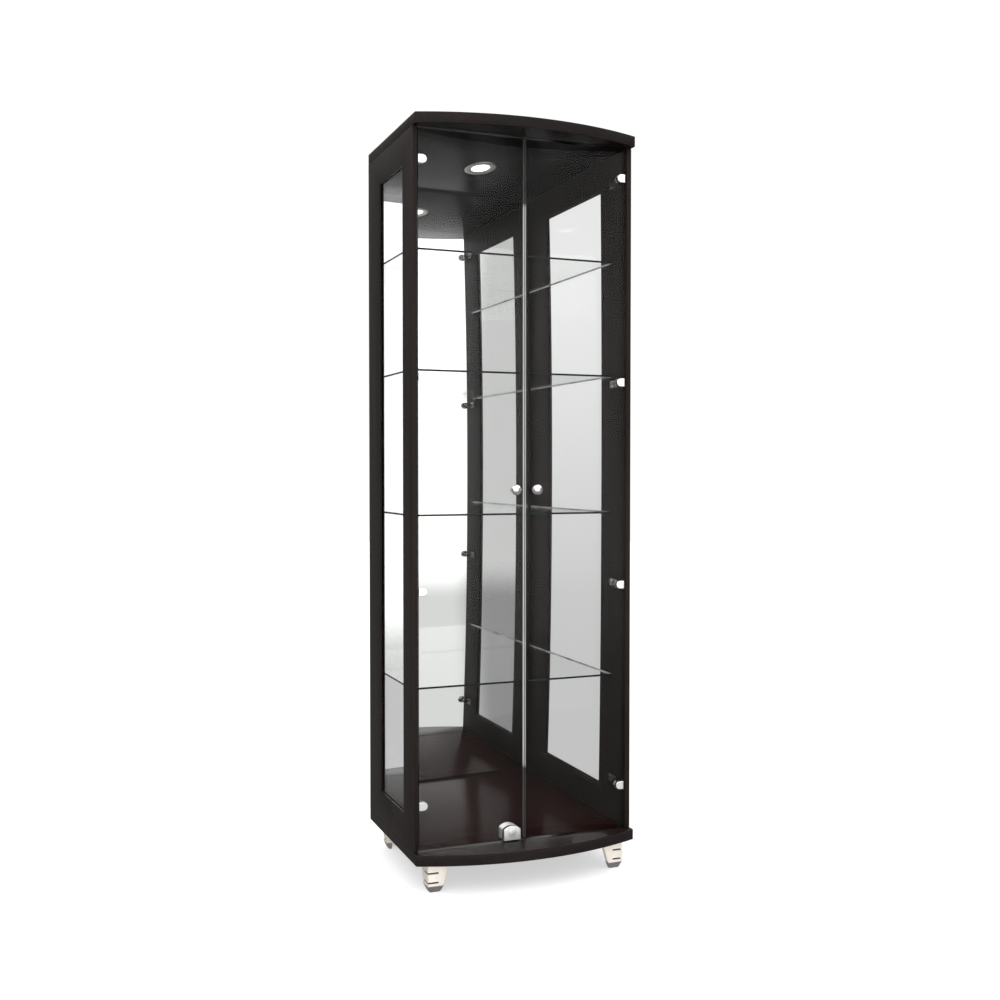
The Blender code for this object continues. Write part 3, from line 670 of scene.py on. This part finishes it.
def make_top():
    low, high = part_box("top_panel")
    lamp = middle("downlight_bezel")
    pocket = rod(LAMP_BODY_RADIUS, -0.03, LAMP_POCKET, (lamp.x, lamp.y, low.z), 2, 48)
    shape = cut(slab_between(low, high), [pocket])
    top = piece("top_slab", [(shape, WOOD_ACROSS)], "case", ["top_panel"], "espresso_wood")
    # the top's underside gets the darker ceiling copy of the wood: painted shade
    top.data.materials.append(WOOD_CEILING_PAINTED_SHADE)
    for polygon in top.data.polygons:
        polygon.material_index = 1 if polygon.normal.z < -0.95 else 0


def make_base():
    """The base, with painted shade on its top: a darker, redder copy of the wood behind the doors and a
    darker copy in front of them.
    """
    low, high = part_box("base_panel")
    hole = round_bolt(high.z - BOLT_POCKET, high.z + 0.01, POCKET_SPARE)
    shape = cut(slab_between(low, high), [hole])
    door_back = Vector((0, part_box("left_door_glass")[1].y, 0))
    whole = [*shape.verts, *shape.edges, *shape.faces]
    bmesh.ops.bisect_plane(shape, geom=whole, plane_co=door_back, plane_no=(0, 1, 0))
    base = piece("base_slab", [(shape, WOOD_ACROSS)], "case", ["base_panel"], "espresso_wood")
    base.data.materials.append(WOOD_BASE_PAINTED_SHADE)
    base.data.materials.append(WOOD_LIP_PAINTED_SHADE)
    for polygon in base.data.polygons:
        # top faces behind the doors and in front of them get the darker copies of the wood: painted shade
        if polygon.normal.z > 0.95:
            polygon.material_index = 1 if polygon.center.y > door_back.y else 2


def rectangle(x, y_range, z_range):
    (y0, y1), (z0, z1) = y_range, z_range
    return [(x, y0, z0), (x, y1, z0), (x, y1, z1), (x, y0, z1)]


def grown(span, amount):
    return span[0] - amount, span[1] + amount


def window_of(name):
    """The window's Y and Z ranges, from the glass that sits behind its lip."""
    low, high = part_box(f"{name}_side_glass")
    return grown((low.y, high.y), -WINDOW_OVERLAP), grown((low.z, high.z), -WINDOW_OVERLAP)


def make_side_panel(name, side):
    low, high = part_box(f"{name}_side_panel")
    inner, outer = (low.x, high.x) if side > 0 else (high.x, low.x)
    y_range, z_range = window_of(name)
    seat = outer - side * GLASS_LIP
    whole = ((low.y, high.y), (low.z, high.z))
    wide = (grown(y_range, WINDOW_SEAT), grown(z_range, WINDOW_SEAT))
    rows = [
        rectangle(inner, *whole),
        rectangle(outer, *whole),
        rectangle(outer, y_range, z_range),
        rectangle(seat, y_range, z_range),
        rectangle(seat, *wide),
        rectangle(inner, *wide),
    ]
    board = softened(lofted(rows, closed=True), BOARD_EASE, 3, 60)
    title = f"{name}_side_board"
    piece(title, [(board, WOOD_UPRIGHT)], "case", [f"{name}_side_panel"], "espresso_wood")


def make_bead(name, side):
    """The bead that holds the window's glass: a mitred frame with a rounded inner edge."""
    low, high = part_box(f"{name}_glazing_bead")
    inner, outer = (low.x, high.x) if side > 0 else (high.x, low.x)
    window_y, window_z = window_of(name)
    wide_y, wide_z = (low.y, high.y), (low.z, high.z)
    rows = [rectangle(outer, wide_y, wide_z), rectangle(inner, wide_y, wide_z)]
    rounded = 0.8
    depth = abs(outer - inner) * rounded
    flat = grown(window_y, depth), grown(window_z, depth)
    for turn in quarter(5):
        inset = depth * math.sin(turn)
        x = inner + (outer - inner) * rounded * (1 - math.cos(turn))
        rows.append(rectangle(x, grown(flat[0], -inset), grown(flat[1], -inset)))
    rows.append(rectangle(outer, window_y, window_z))
    bead = lofted(rows, closed=True)
    piece(f"{name}_window_bead", [(bead, WOOD_UPRIGHT)], "case", [f"{name}_glazing_bead"], "espresso_wood")


# ---------------- hinges


def d_outline(shape, inset=0.0):
    """A D with rounded corners, from its flat's distance, its radius and its centre's distance."""
    flat, radius, centre = shape
    flat, radius = inset - flat, radius - inset
    corner = 0.0012
    nose = arc((-centre, 0), radius, -90, 90, 28)
    upper = arc((flat + corner, radius - corner), corner, 90, 180, 5)
    lower = arc((flat + corner, -radius + corner), corner, 180, 270, 5)
    return [*nose, *upper, *lower]


def dished_cap(front, back):
    """A cap with a rounded rim and a very slightly crowned front."""
    rows = [[(u, back, w) for u, w in d_outline(CAP)]]
    depth = back - front
    for turn in quarter(5):
        inset = 0.0008 * (1 - math.cos(turn))
        y = back - depth * 0.45 - depth * 0.45 * math.sin(turn)
        rows.append([(u, y, w) for u, w in d_outline(CAP, inset)])
    for inset, lift in ((0.004, 0.04), (0.008, 0.08)):
        y = back - depth * (0.90 + lift)
        rows.append([(u, y, w) for u, w in d_outline(CAP, inset)])
    return lofted(rows)


def rod(radius, start, end, centre, axis, sides=32):
    return moved(turned(((0, start), (radius, start), (radius, end), (0, end)), axis, sides), centre)


def screw_head(radius, height):
    """A flat head with a cross recess, for a wall on the left, facing +X."""
    rim = height * 0.35
    head = turned(((0, -height), (radius * 0.55, -height), (radius, -rim), (radius, 0), (0, 0)), 0, 28)
    arm, reach, deep = 0.0004, radius * 0.55, height * 0.9
    bars = [
        block((-height * 2, -arm, -reach), (-height + deep, arm, reach)),
        block((-height * 2, -reach, -arm), (-height + deep, reach, arm)),
    ]
    return mirrored(cut(head, bars))


def clamp_shapes(side):
    """The door half of a hinge, about its own pin: made for the left door and mirrored for the right."""
    glass_front, glass_back = -HINGE_PIN_DEPTH, DOOR_GLASS - HINGE_PIN_DEPTH
    plate_back = glass_back + PLATE_BACK
    cap = dished_cap(glass_front - CAP_PROUD, glass_front - GASKET)
    plate = extruded(d_outline(INNER_PLATE, 0.0002), glass_back + GASKET, plate_back, 1)
    notch = block((-0.03, glass_back - 0.001, -0.0045), (0.0027, plate_back + 0.001, 0.0045))
    plate = softened(cut(plate, [notch]), 0.0003, 2, 50)
    front_gasket = extruded(d_outline(CAP, 0.0012), glass_front - GASKET, glass_front, 1)
    back_gasket = extruded(d_outline(INNER_PLATE, 0.0010), glass_back, glass_back + GASKET, 1)
    gasket_notch = block((-0.03, glass_back - 0.001, -0.005), (0.0030, plate_back + 0.001, 0.005))
    back_gasket = cut(back_gasket, [gasket_notch])
    stud = rod(STUD_RADIUS, glass_front, glass_back, (STUD_OFFSET, 0, 0), 1)
    nut = rod(NUT_RADIUS, plate_back, plate_back + 0.0007, (STUD_OFFSET, 0, 0), 1, 6)
    shapes = [(cap, CHROME), (plate, NICKEL), (stud, NICKEL), (nut, NICKEL)]
    shapes += [(front_gasket, RUBBER), (back_gasket, RUBBER)]
    for low in (BARREL_LENGTH, -2 * BARREL_LENGTH):
        barrel = rod(BARREL_RADIUS, low, low + BARREL_LENGTH, (0, 0, 0), 2)
        shapes.append((softened(barrel, 0.0004, 2), NICKEL))
    if side > 0:
        for shape, _ in shapes:
            mirrored(shape)
    return shapes


def bracket_shapes(side):
    """The case half of a hinge, about its own pin: wall plate, bent arm, knuckle and pin."""
    wall = -WALL_REACH
    knuckle = softened(rod(KNUCKLE_RADIUS, -KNUCKLE_HALF, KNUCKLE_HALF, (0, 0, 0), 2), 0.0003, 2)
    front = ARM_BACK - ARM_THICK
    outline = [(-ARM_HALF, 0.001), (ARM_HALF, 0.001)]
    outline += arc((ARM_HALF - ARM_BEND, ARM_BACK - ARM_BEND), ARM_BEND, 0, 90, 8)
    outline += [(wall, ARM_BACK), (wall, front)]
    outline += arc((-ARM_HALF - ARM_INNER_BEND, front - ARM_INNER_BEND), ARM_INNER_BEND, 90, 0, 6)
    arm = softened(extruded(outline, -KNUCKLE_HALF, KNUCKLE_HALF, 2), 0.0004, 2, 50)
    length, thick, corner = WALL_PLATE
    mid = front + length / 2
    ends = []
    for across, along, start in ((1, 1, 0), (-1, 1, 90), (-1, -1, 180), (1, -1, 270)):
        centre = (mid + across * (length / 2 - corner), along * (INNER_PLATE[1] - corner))
        ends += arc(centre, corner, start, start + 90, 4)
    rows = [[(x, y, z) for y, z in ends] for x in (wall, wall + thick)]
    plate = softened(lofted(rows), 0.0005, 2, 60)
    pin = softened(rod(PIN_RADIUS, -PIN_HALF, PIN_HALF, (0, 0, 0), 2, 20), 0.0003, 2)
    shapes = [(knuckle, DARK_STEEL), (arm, DARK_STEEL), (plate, DARK_STEEL), (pin, NICKEL)]
    for z in (-0.0055, 0.0055):
        head = screw_head(0.0030, 0.0009)
        shapes.append((moved(head, (wall + thick, mid + 0.002, z)), NICKEL))
    if side > 0:
        for shape, _ in shapes:
            mirrored(shape)
    return shapes


def axis_of(name, number):
    """The hinge's own centre: the middle of its bracket's height, on the joint's axis."""
    joint = next(j for j in frame["joints"] if j["name"] == f"{name}_door_hinge")
    return Vector((joint["pos_m"][0], joint["pos_m"][1], middle(f"hinge_bracket_{name}_{number}").z))


def make_hinges(name, side):
    """Each door's hinges share two meshes: the clamp, which rides on the door, and the bracket."""
    door = f"{name}_door"
    clamp = bracket = None
    for number in range(1, HINGE_COUNT + 1):
        place = axis_of(name, number)
        cap = f"hinge_cap_{name}_{number}"
        arm = f"hinge_arm_{name}_{number}"
        as_clamp = (door, [f"hinge_clamp_{name}_{number}"], "bright_chrome", place)
        as_bracket = ("case", [f"hinge_bracket_{name}_{number}"], "nickel_steel", place)
        if clamp is None:
            clamp = piece(cap, clamp_shapes(side), *as_clamp).data
            bracket = piece(arm, bracket_shapes(side), *as_bracket).data
        else:
            shown(cap, clamp, *as_clamp)
            shown(arm, bracket, *as_bracket)


# ---------------- knobs


def make_knob(name):
    low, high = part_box(f"{name}_knob")
    door_low, door_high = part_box(f"{name}_door_glass")
    radius = (high.x - low.x) / 2
    front, back = door_low.y, door_high.y
    rim = low.y + KNOB_DOME
    profile = [(radius * math.sin(t), rim - KNOB_DOME * math.cos(t)) for t in quarter(14)]
    profile += [(radius * share, rim + behind) for share, behind in KNOB_SHOULDER]
    profile += [(reach, rim + behind) for reach, behind in KNOB_NECK]
    foot = KNOB_NECK[-1][0]
    profile += [(foot, front - GASKET), (0, front - GASKET)]
    centre = middle(f"{name}_knob")
    head = turned(profile, 1, 64)
    gasket = rod(0.0078, front - GASKET, front, (0, 0, 0), 1, 40)
    shank = rod(SHANK_RADIUS, front, back, (0, 0, 0), 1, 32)
    washer_radius, washer_thick = WASHER
    washer = softened(rod(washer_radius, back, back + washer_thick, (0, 0, 0), 1, 40), 0.0002, 2)
    reach, rise = BUTTON
    button = [(reach * math.cos(t), back + washer_thick + rise * math.sin(t)) for t in quarter(8)]
    button[-1] = (0, button[-1][1])
    head_back = turned([(0, back + 0.0006), (reach, back + 0.0006), *button], 1, 40)
    shapes = [(head, CHROME), (gasket, RUBBER), (shank, NICKEL), (washer, NICKEL), (head_back, CHROME)]
    for shape, _ in shapes:
        moved(shape, (centre.x, 0, centre.z))
    piece(f"{name}_door_knob", shapes, f"{name}_door", [f"{name}_knob"], "bright_chrome", smooth_angle=40)


# ---------------- lock


def lock_outline(low, high, inset=0.0):
    """The lock's front: straight foot and sides, and one arch over the top."""
    half = (high.x - low.x) / 2 - inset
    radius = (half ** 2 + LOCK_RISE ** 2) / (2 * LOCK_RISE)
    sweep = math.degrees(math.asin(half / radius))
    corner = LOCK_CORNER
    foot = low.z + inset
    crown = arc((0, high.z - inset - radius), radius, 90 - sweep, 90 + sweep, 24)
    right_foot = arc((half - corner, foot + corner), corner, 270, 360, 5)
    left_foot = arc((-half + corner, foot + corner), corner, 180, 270, 5)
    return [*left_foot, *right_foot, *crown]


def make_lock():
    low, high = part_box("lock_housing")
    plug = middle("lock_plug")
    glass_low, glass_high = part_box("left_door_glass")
    bolt_low, bolt_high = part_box("lock_bolt")
    front_back, rear_front = glass_low.y - GASKET, glass_high.y + GASKET
    outline = lock_outline(low, high)
    front = softened(extruded(outline, low.y, front_back, 1), LOCK_ROUND, 4, 40)
    rear = softened(extruded(outline, rear_front, high.y, 1), LOCK_ROUND, 4, 40)
    channel = round_bolt(low.z - 0.01, bolt_high.z + 0.002, CHANNEL_SPARE)
    rear = cut(rear, [moved(channel, (-plug.x, 0, 0))])
    barrel = rod(LOCK_BARREL_RADIUS, front_back, rear_front, (0, 0, plug.z), 1, 48)
    inner, outer = COLLAR
    collar = turned(((inner, -0.0004), (outer, -0.0004), (outer, 0.0002), (inner, 0.0002)), 1, 48, True)
    moved(collar, (0, low.y, plug.z))
    shapes = [(front, LOCK_METAL), (rear, LOCK_METAL), (barrel, LOCK_METAL), (collar, LOCK_METAL)]
    inset_outline = lock_outline(low, high, 0.001)
    shapes.append((extruded(inset_outline, front_back, glass_low.y, 1), RUBBER))
    shapes.append((extruded(inset_outline, glass_high.y, rear_front, 1), RUBBER))
    for x in (-LOCK_SCREW_REACH, LOCK_SCREW_REACH):
        head = turned(((0, 0), (0.0026, 0), (0.0026, 0.0006), (0.0018, 0.0013), (0, 0.0015)), 1, 28)
        shapes.append((moved(head, (x, high.y - 0.0014, low.z + 0.006)), NICKEL))
    for shape, _ in shapes:
        moved(shape, (plug.x, 0, 0))
    piece("door_lock_body", shapes, "left_door", ["lock_housing"], "bright_chrome", smooth_angle=40)
    make_plug(plug, low)
    make_bolt(bolt_low, bolt_high)
    make_strike()


def make_plug(plug, housing_low):
    low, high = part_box("lock_plug")
    radius = (high.x - low.x) / 2
    head = housing_low.y - low.y - GASKET
    profile = [
        (0, 0.0),
        (radius * 0.90, 0.0001),
        (radius * 0.96, 0.0003),
        (radius * 0.99, 0.0006),
        (radius, 0.0010),
        (radius, head),
        (0.0060, head),
        (0.0060, high.y - low.y),
        (0, high.y - low.y),
    ]
    body = turned(profile, 1, 56)
    half_wide, half_long = KEYWAY
    keyway = block((-half_wide, -0.001, -half_long), (half_wide, 0.003, half_long))
    shapes = [(moved(cut(body, [keyway]), (plug.x, low.y, plug.z)), LOCK_METAL)]
    piece("lock_turning_plug", shapes, "lock_plug", ["lock_plug"], "bright_chrome", smooth_angle=40)


def make_bolt(low, high):
    bar = softened(block(low, high), 0.0006, 3, 30)
    piece("lock_sliding_bolt", [(bar, NICKEL)], "lock_bolt", ["lock_bolt"], "nickel_steel")


def make_strike():
    low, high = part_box("lock_strike")
    plate = softened(block(low, high), 0.0004, 2, 30)
    hole = round_bolt(low.z - 1e-3, high.z + 1e-3, POCKET_SPARE)
    piece("lock_strike_plate", [(cut(plate, [hole]), NICKEL)], "case", ["lock_strike"], "nickel_steel")


# ---------------- feet, lamp, pegs


def foot_reach(drop):
    """How far the foot reaches in from its outer corner, at a drop below its top."""
    top, waist, bottom = FOOT_REACHES
    if drop < FLARE_END:
        return top - (top - waist) * drop / FLARE_END
    share = (drop - FLARE_END) / (FOOT_END - FLARE_END)
    return waist - (waist - bottom) * share ** 1.3


def foot_inset(drop):
    """How far the lower bevel steps in from the outer corner."""
    share = max(0.0, (drop - INSET_START) / (FOOT_END - INSET_START))
    return FOOT_INSET * share ** 1.15


def foot_plan(near, far, corner):
    """A square plan with rounded corners, from near to far along both outer faces."""
    points = []
    for (a, b), start in (((far, far), 0), ((near, far), 90), ((near, near), 180), ((far, near), 270)):
        centre = (a - corner if a == far else a + corner, b - corner if b == far else b + corner)
        points += arc(centre, corner, start, start + 90, 6)
    return points


def make_foot(name, side, where, end):
    node = f"foot_{where}_{name}"
    low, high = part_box(node)
    corner_x = high.x if side > 0 else low.x
    corner_y = low.y if end < 0 else high.y
    rows = []
    steps = 26
    for i in range(steps + 1):
        drop = (high.z - low.z) * i / steps
        plan = foot_plan(foot_inset(drop), foot_reach(drop), FOOT_CORNER)
        rows.append([(-side * a, -end * b, -drop) for a, b in plan])
    shape = lofted(rows)
    out, deep, wall, far = -0.01, SLOT_DEEP, FOOT_WALL, 0.1
    along, back = SLOT_ENDS
    plan = ((out, out), (along, out), (along, deep), (deep, deep), (deep, back), (out, back))
    plan = [(-side * a, -end * b) for a, b in plan]
    slots = [extruded(plan, -drop - SLOT_HALF, -drop + SLOT_HALF, 2) for drop in SLOT_DROPS]
    plan = ((wall, wall), (far, wall), (far, far), (wall, far))
    hollow = extruded([(-side * a, -end * b) for a, b in plan], -far, far, 2)
    shape = moved(cut(shape, [hollow, *slots]), (corner_x, corner_y, high.z))
    foot = piece(f"cast_{node}", [(shape, SATIN)], "case", [node], "satin_metal", smooth_angle=50)
    paint_foot_shade(foot.data, Vector((corner_x, corner_y, high.z)))


def paint_foot_shade(mesh, corner):
    """Paints shade on the foot: the faces inside its slots get the black gasket look, and its lower bevel a
    grey copy of the metal, both as painted shade.
    """
    mesh.materials.append(RUBBER)
    mesh.materials.append(FOOT_BEVEL_PAINTED_SHADE)
    hair = 1e-4
    for polygon in mesh.polygons:
        place = polygon.center - corner
        inward = min(abs(place.x), abs(place.y))
        at_slot = any(abs(place.z + drop) < SLOT_HALF + hair for drop in SLOT_DROPS)
        slot_back = abs(inward - SLOT_DEEP) < hair
        slot_side = abs(polygon.normal.z) > 0.95 and inward < SLOT_DEEP
        # slot faces get the black gasket look and the lower bevel the grey copy: painted shade
        if at_slot and (slot_back or slot_side):
            polygon.material_index = 1
        elif place.z < -FLARE_END and polygon.normal.z < -0.1:
            polygon.material_index = 2


def make_downlight():
    low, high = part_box("downlight_bezel")
    lens_low, lens_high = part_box("downlight_lens")
    centre = middle("downlight_bezel")
    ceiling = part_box("top_panel")[0].z
    outer, bore = (high.x - low.x) / 2, (lens_high.x - lens_low.x) / 2
    profile = [(bore + LENS_GAP, LAMP_NECK), (bore + LENS_GAP, -0.0006)]
    run = 0.0044 / 6
    slope = [(bore + 0.0006 + run * i, -LAMP_DROP - 0.0019 * math.sin(t)) for i, t in enumerate(quarter(6))]
    rim = [(outer - 0.0060 + 0.0058 * math.sin(t), -LAMP_DROP - 0.0020 * math.cos(t)) for t in quarter(8)]
    neck = [(outer, -0.0003), (LAMP_NECK_RADIUS, -0.0003), (LAMP_NECK_RADIUS, LAMP_NECK)]
    profile += slope + rim + neck
    ring = moved(turned(profile, 2, 96, True), (centre.x, centre.y, ceiling))
    piece("lamp_ring", [(ring, RING)], "case", ["downlight_bezel"], "satin_metal", smooth_angle=50)
    dome = [(bore * math.sin(t), -0.0006 - LENS_BULGE * math.cos(t)) for t in quarter(12)]
    lens = moved(turned([*dome, (bore, 0.003), (0, 0.003)], 2, 96), (centre.x, centre.y, ceiling))
    piece("lamp_lens_disc", [(lens, LENS)], "case", ["downlight_lens"], "white_diffuser", smooth_angle=50)


def pin_shapes(side):
    """A dark shelf peg set in the wall, with a collar at the wall and a soft sleeve under the glass."""
    head = [
        (0, -0.0090),
        (0.0030, -0.0090),
        (0.0036, -0.0086),
        (0.0036, -0.0016),
        (0.0040, -0.0014),
        (0.0040, -0.0003),
        (0.0025, -0.0003),
        (0.0025, 0.0080),
        (0, 0.0080),
    ]
    peg = turned(head, 0, 32)
    sleeve = turned(((0.0036, -0.0082), (0.0040, -0.0080), (0.0040, -0.0020), (0.0036, -0.0018)), 0, 32, True)
    shapes = [(peg, PEG), (sleeve, RUBBER)]
    if side < 0:
        for shape, _ in shapes:
            mirrored(shape)
    return shapes


def make_pins(name, side):
    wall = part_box(f"{name}_side_panel")[0 if side > 0 else 1].x
    first = None
    for shelf in range(1, SHELF_COUNT + 1):
        for where in ("front", "rear"):
            node = f"shelf_pin_{shelf}_{where}_{name}"
            centre = middle(node)
            place = (wall, centre.y, centre.z)
            title = f"shelf_peg_{shelf}_{where}_{name}"
            as_peg = ("case", [node], "dark_plastic", place)
            if first is None:
                first = piece(title, pin_shapes(side), *as_peg)
            else:
                shown(title, first.data, *as_peg)


# ---------------- carried-over nodes


def finish_faces(node, looks):
    """Gives each face of a carried-over node the first look whose test holds for its normal."""
    mesh = NODES[node].data
    mesh.materials.clear()
    for _, material in looks:
        mesh.materials.append(material)
    for polygon in mesh.polygons:
        tests = [test(polygon.normal) for test, _ in looks]
        polygon.material_index = tests.index(True)


def broad(axis):
    """A test for the broad faces of a sheet that is thin along an axis."""
    return lambda normal: abs(normal[axis]) > 0.9


def towards(axis, way, least=0.5):
    """A test for faces that look along an axis, the way of its sign."""
    return lambda normal: normal[axis] * way > least


def front_or_left(normal):
    return normal.y < -0.5 or normal.x < -0.5


def others(normal):
    return True


def finish_carried_nodes():
    for name, side in SIDES:
        finish_faces(f"{name}_side_glass", [(broad(0), SIDE_PANE), (others, SHELF_EDGE)])
        looks = [(towards(1, -1, 0.9), DOOR_FRONT), (broad(1), DOOR_PANE)]
        looks += [(towards(0, -side), MEETING_EDGE_PAINTED_REFLECTION), (others, SHELF_EDGE)]
        finish_faces(f"{name}_door_glass", looks)
    for i in range(1, SHELF_COUNT + 1):
        looks = [(broad(2), SHELF_PANE), (front_or_left, SHELF_EDGE)]
        looks += [(towards(0, 1), SHELF_END_PAINTED_LIGHT), (others, CLEAR_EDGE)]
        finish_faces(f"shelf_{i}", looks)
    finish_faces("mirror", [(broad(1), SILVER), (others, SHELF_EDGE)])
    finish_faces("back_panel", [(others, BOARD)])


# ---------------- stage


def make_stage():
    bm = bmesh.new()
    bmesh.ops.create_circle(bm, cap_ends=True, radius=FLOOR_RADIUS, segments=96)
    mesh = bpy.data.meshes.new("studio_floor")
    bm.to_mesh(mesh)
    bm.free()
    mat, _, shader = new_material("pale_floor")
    shader.inputs["Base Color"].default_value = (0.52, 0.52, 0.52, 1.0)
    shader.inputs["Emission Color"].default_value = (1.0, 1.0, 1.0, 1.0)
    shader.inputs["Emission Strength"].default_value = FLOOR_GLOW
    shader.inputs["Roughness"].default_value = 0.7
    mesh.materials.append(mat)
    floor = bpy.data.objects.new("studio_floor", mesh)
    bpy.context.scene.collection.objects.link(floor)
    floor.visible_glossy = False
    floor.visible_transmission = False


def make_world():
    """White where the camera sees it. As light, a bright dome over a dim horizon, and bright in front."""
    world = bpy.data.worlds.new("studio")
    world.use_nodes = True
    tree = world.node_tree
    direction = add(tree, "ShaderNodeTexCoord").outputs["Generated"]
    heading = add(tree, "ShaderNodeSeparateXYZ", {"Vector": direction}).outputs
    forward = math_node(tree, "MULTIPLY", heading["Y"], -1.0)
    down = math_node(tree, "MULTIPLY", heading["Z"], -1.0)
    dome = soft_step(tree, heading["Z"], DOME_SPAN, 0.0, DOME_LIGHT)
    front = soft_step(tree, forward, FRONT_SPAN, 0.0, FRONT_LIGHT)
    front = math_node(tree, "MULTIPLY", front, soft_step(tree, heading["X"], RIGHT_SPAN, 1.0, RIGHT_SHARE))
    light = math_node(tree, "MAXIMUM", math_node(tree, "MAXIMUM", dome, front), HORIZON_LIGHT)
    near_floor = math_node(tree, "MULTIPLY", front, FLOOR_SHARE)
    light = mixed_value(tree, soft_step(tree, down, FLOOR_SPAN, 0.0, 1.0), light, near_floor)
    light = math_node(tree, "MAXIMUM", light, HORIZON_LIGHT)
    light = mixed_value(tree, soft_step(tree, down, GROUND_SPAN, 0.0, 1.0), light, GROUND_LIGHT)
    path = add(tree, "ShaderNodeLightPath").outputs
    dim, bright = WINDOW_LIGHT
    behind = math_node(tree, "ADD", soft_step(tree, heading["Z"], WINDOW_SPAN, 0.0, bright - dim), dim)
    behind = math_node(tree, "MAXIMUM", light, behind)
    light = mixed_value(tree, path["Is Transmission Ray"], light, behind)
    strength = mixed_value(tree, path["Is Camera Ray"], light, BACKDROP)
    background = tree.nodes["Background"]
    background.inputs["Color"].default_value = (1.0, 1.0, 1.0, 1.0)
    tree.links.new(strength, background.inputs["Strength"])
    bpy.context.scene.world = world


def area_light(name, location, target, size, power):
    data = bpy.data.lights.new(name, "AREA")
    data.size = size
    data.energy = power
    obj = bpy.data.objects.new(name, data)
    bpy.context.scene.collection.objects.link(obj)
    obj.location = location
    obj.rotation_euler = (Vector(target) - Vector(location)).to_track_quat("-Z", "Y").to_euler()


def make_camera():
    data = bpy.data.cameras.new("camera")
    data.lens = CAMERA_LENS
    data.sensor_width = 36.0
    obj = bpy.data.objects.new("camera", data)
    bpy.context.scene.collection.objects.link(obj)
    obj.location = CAMERA_PLACE
    obj.rotation_euler = [math.radians(turn) for turn in CAMERA_TURN]
    bpy.context.scene.camera = obj


def build():
    make_top()
    make_base()
    for name, side in SIDES:
        make_side_panel(name, side)
        make_bead(name, side)
        make_hinges(name, side)
        make_knob(name)
        make_pins(name, side)
        make_foot(name, side, "front", -1)
        make_foot(name, side, "rear", 1)
    make_lock()
    make_downlight()
    finish_carried_nodes()
    make_stage()
    make_world()
    area_light("key", KEY_PLACE, KEY_TARGET, KEY_SIZE, KEY_POWER)
    make_camera()


build()
bpy.context.scene.view_settings.view_transform = "Standard"
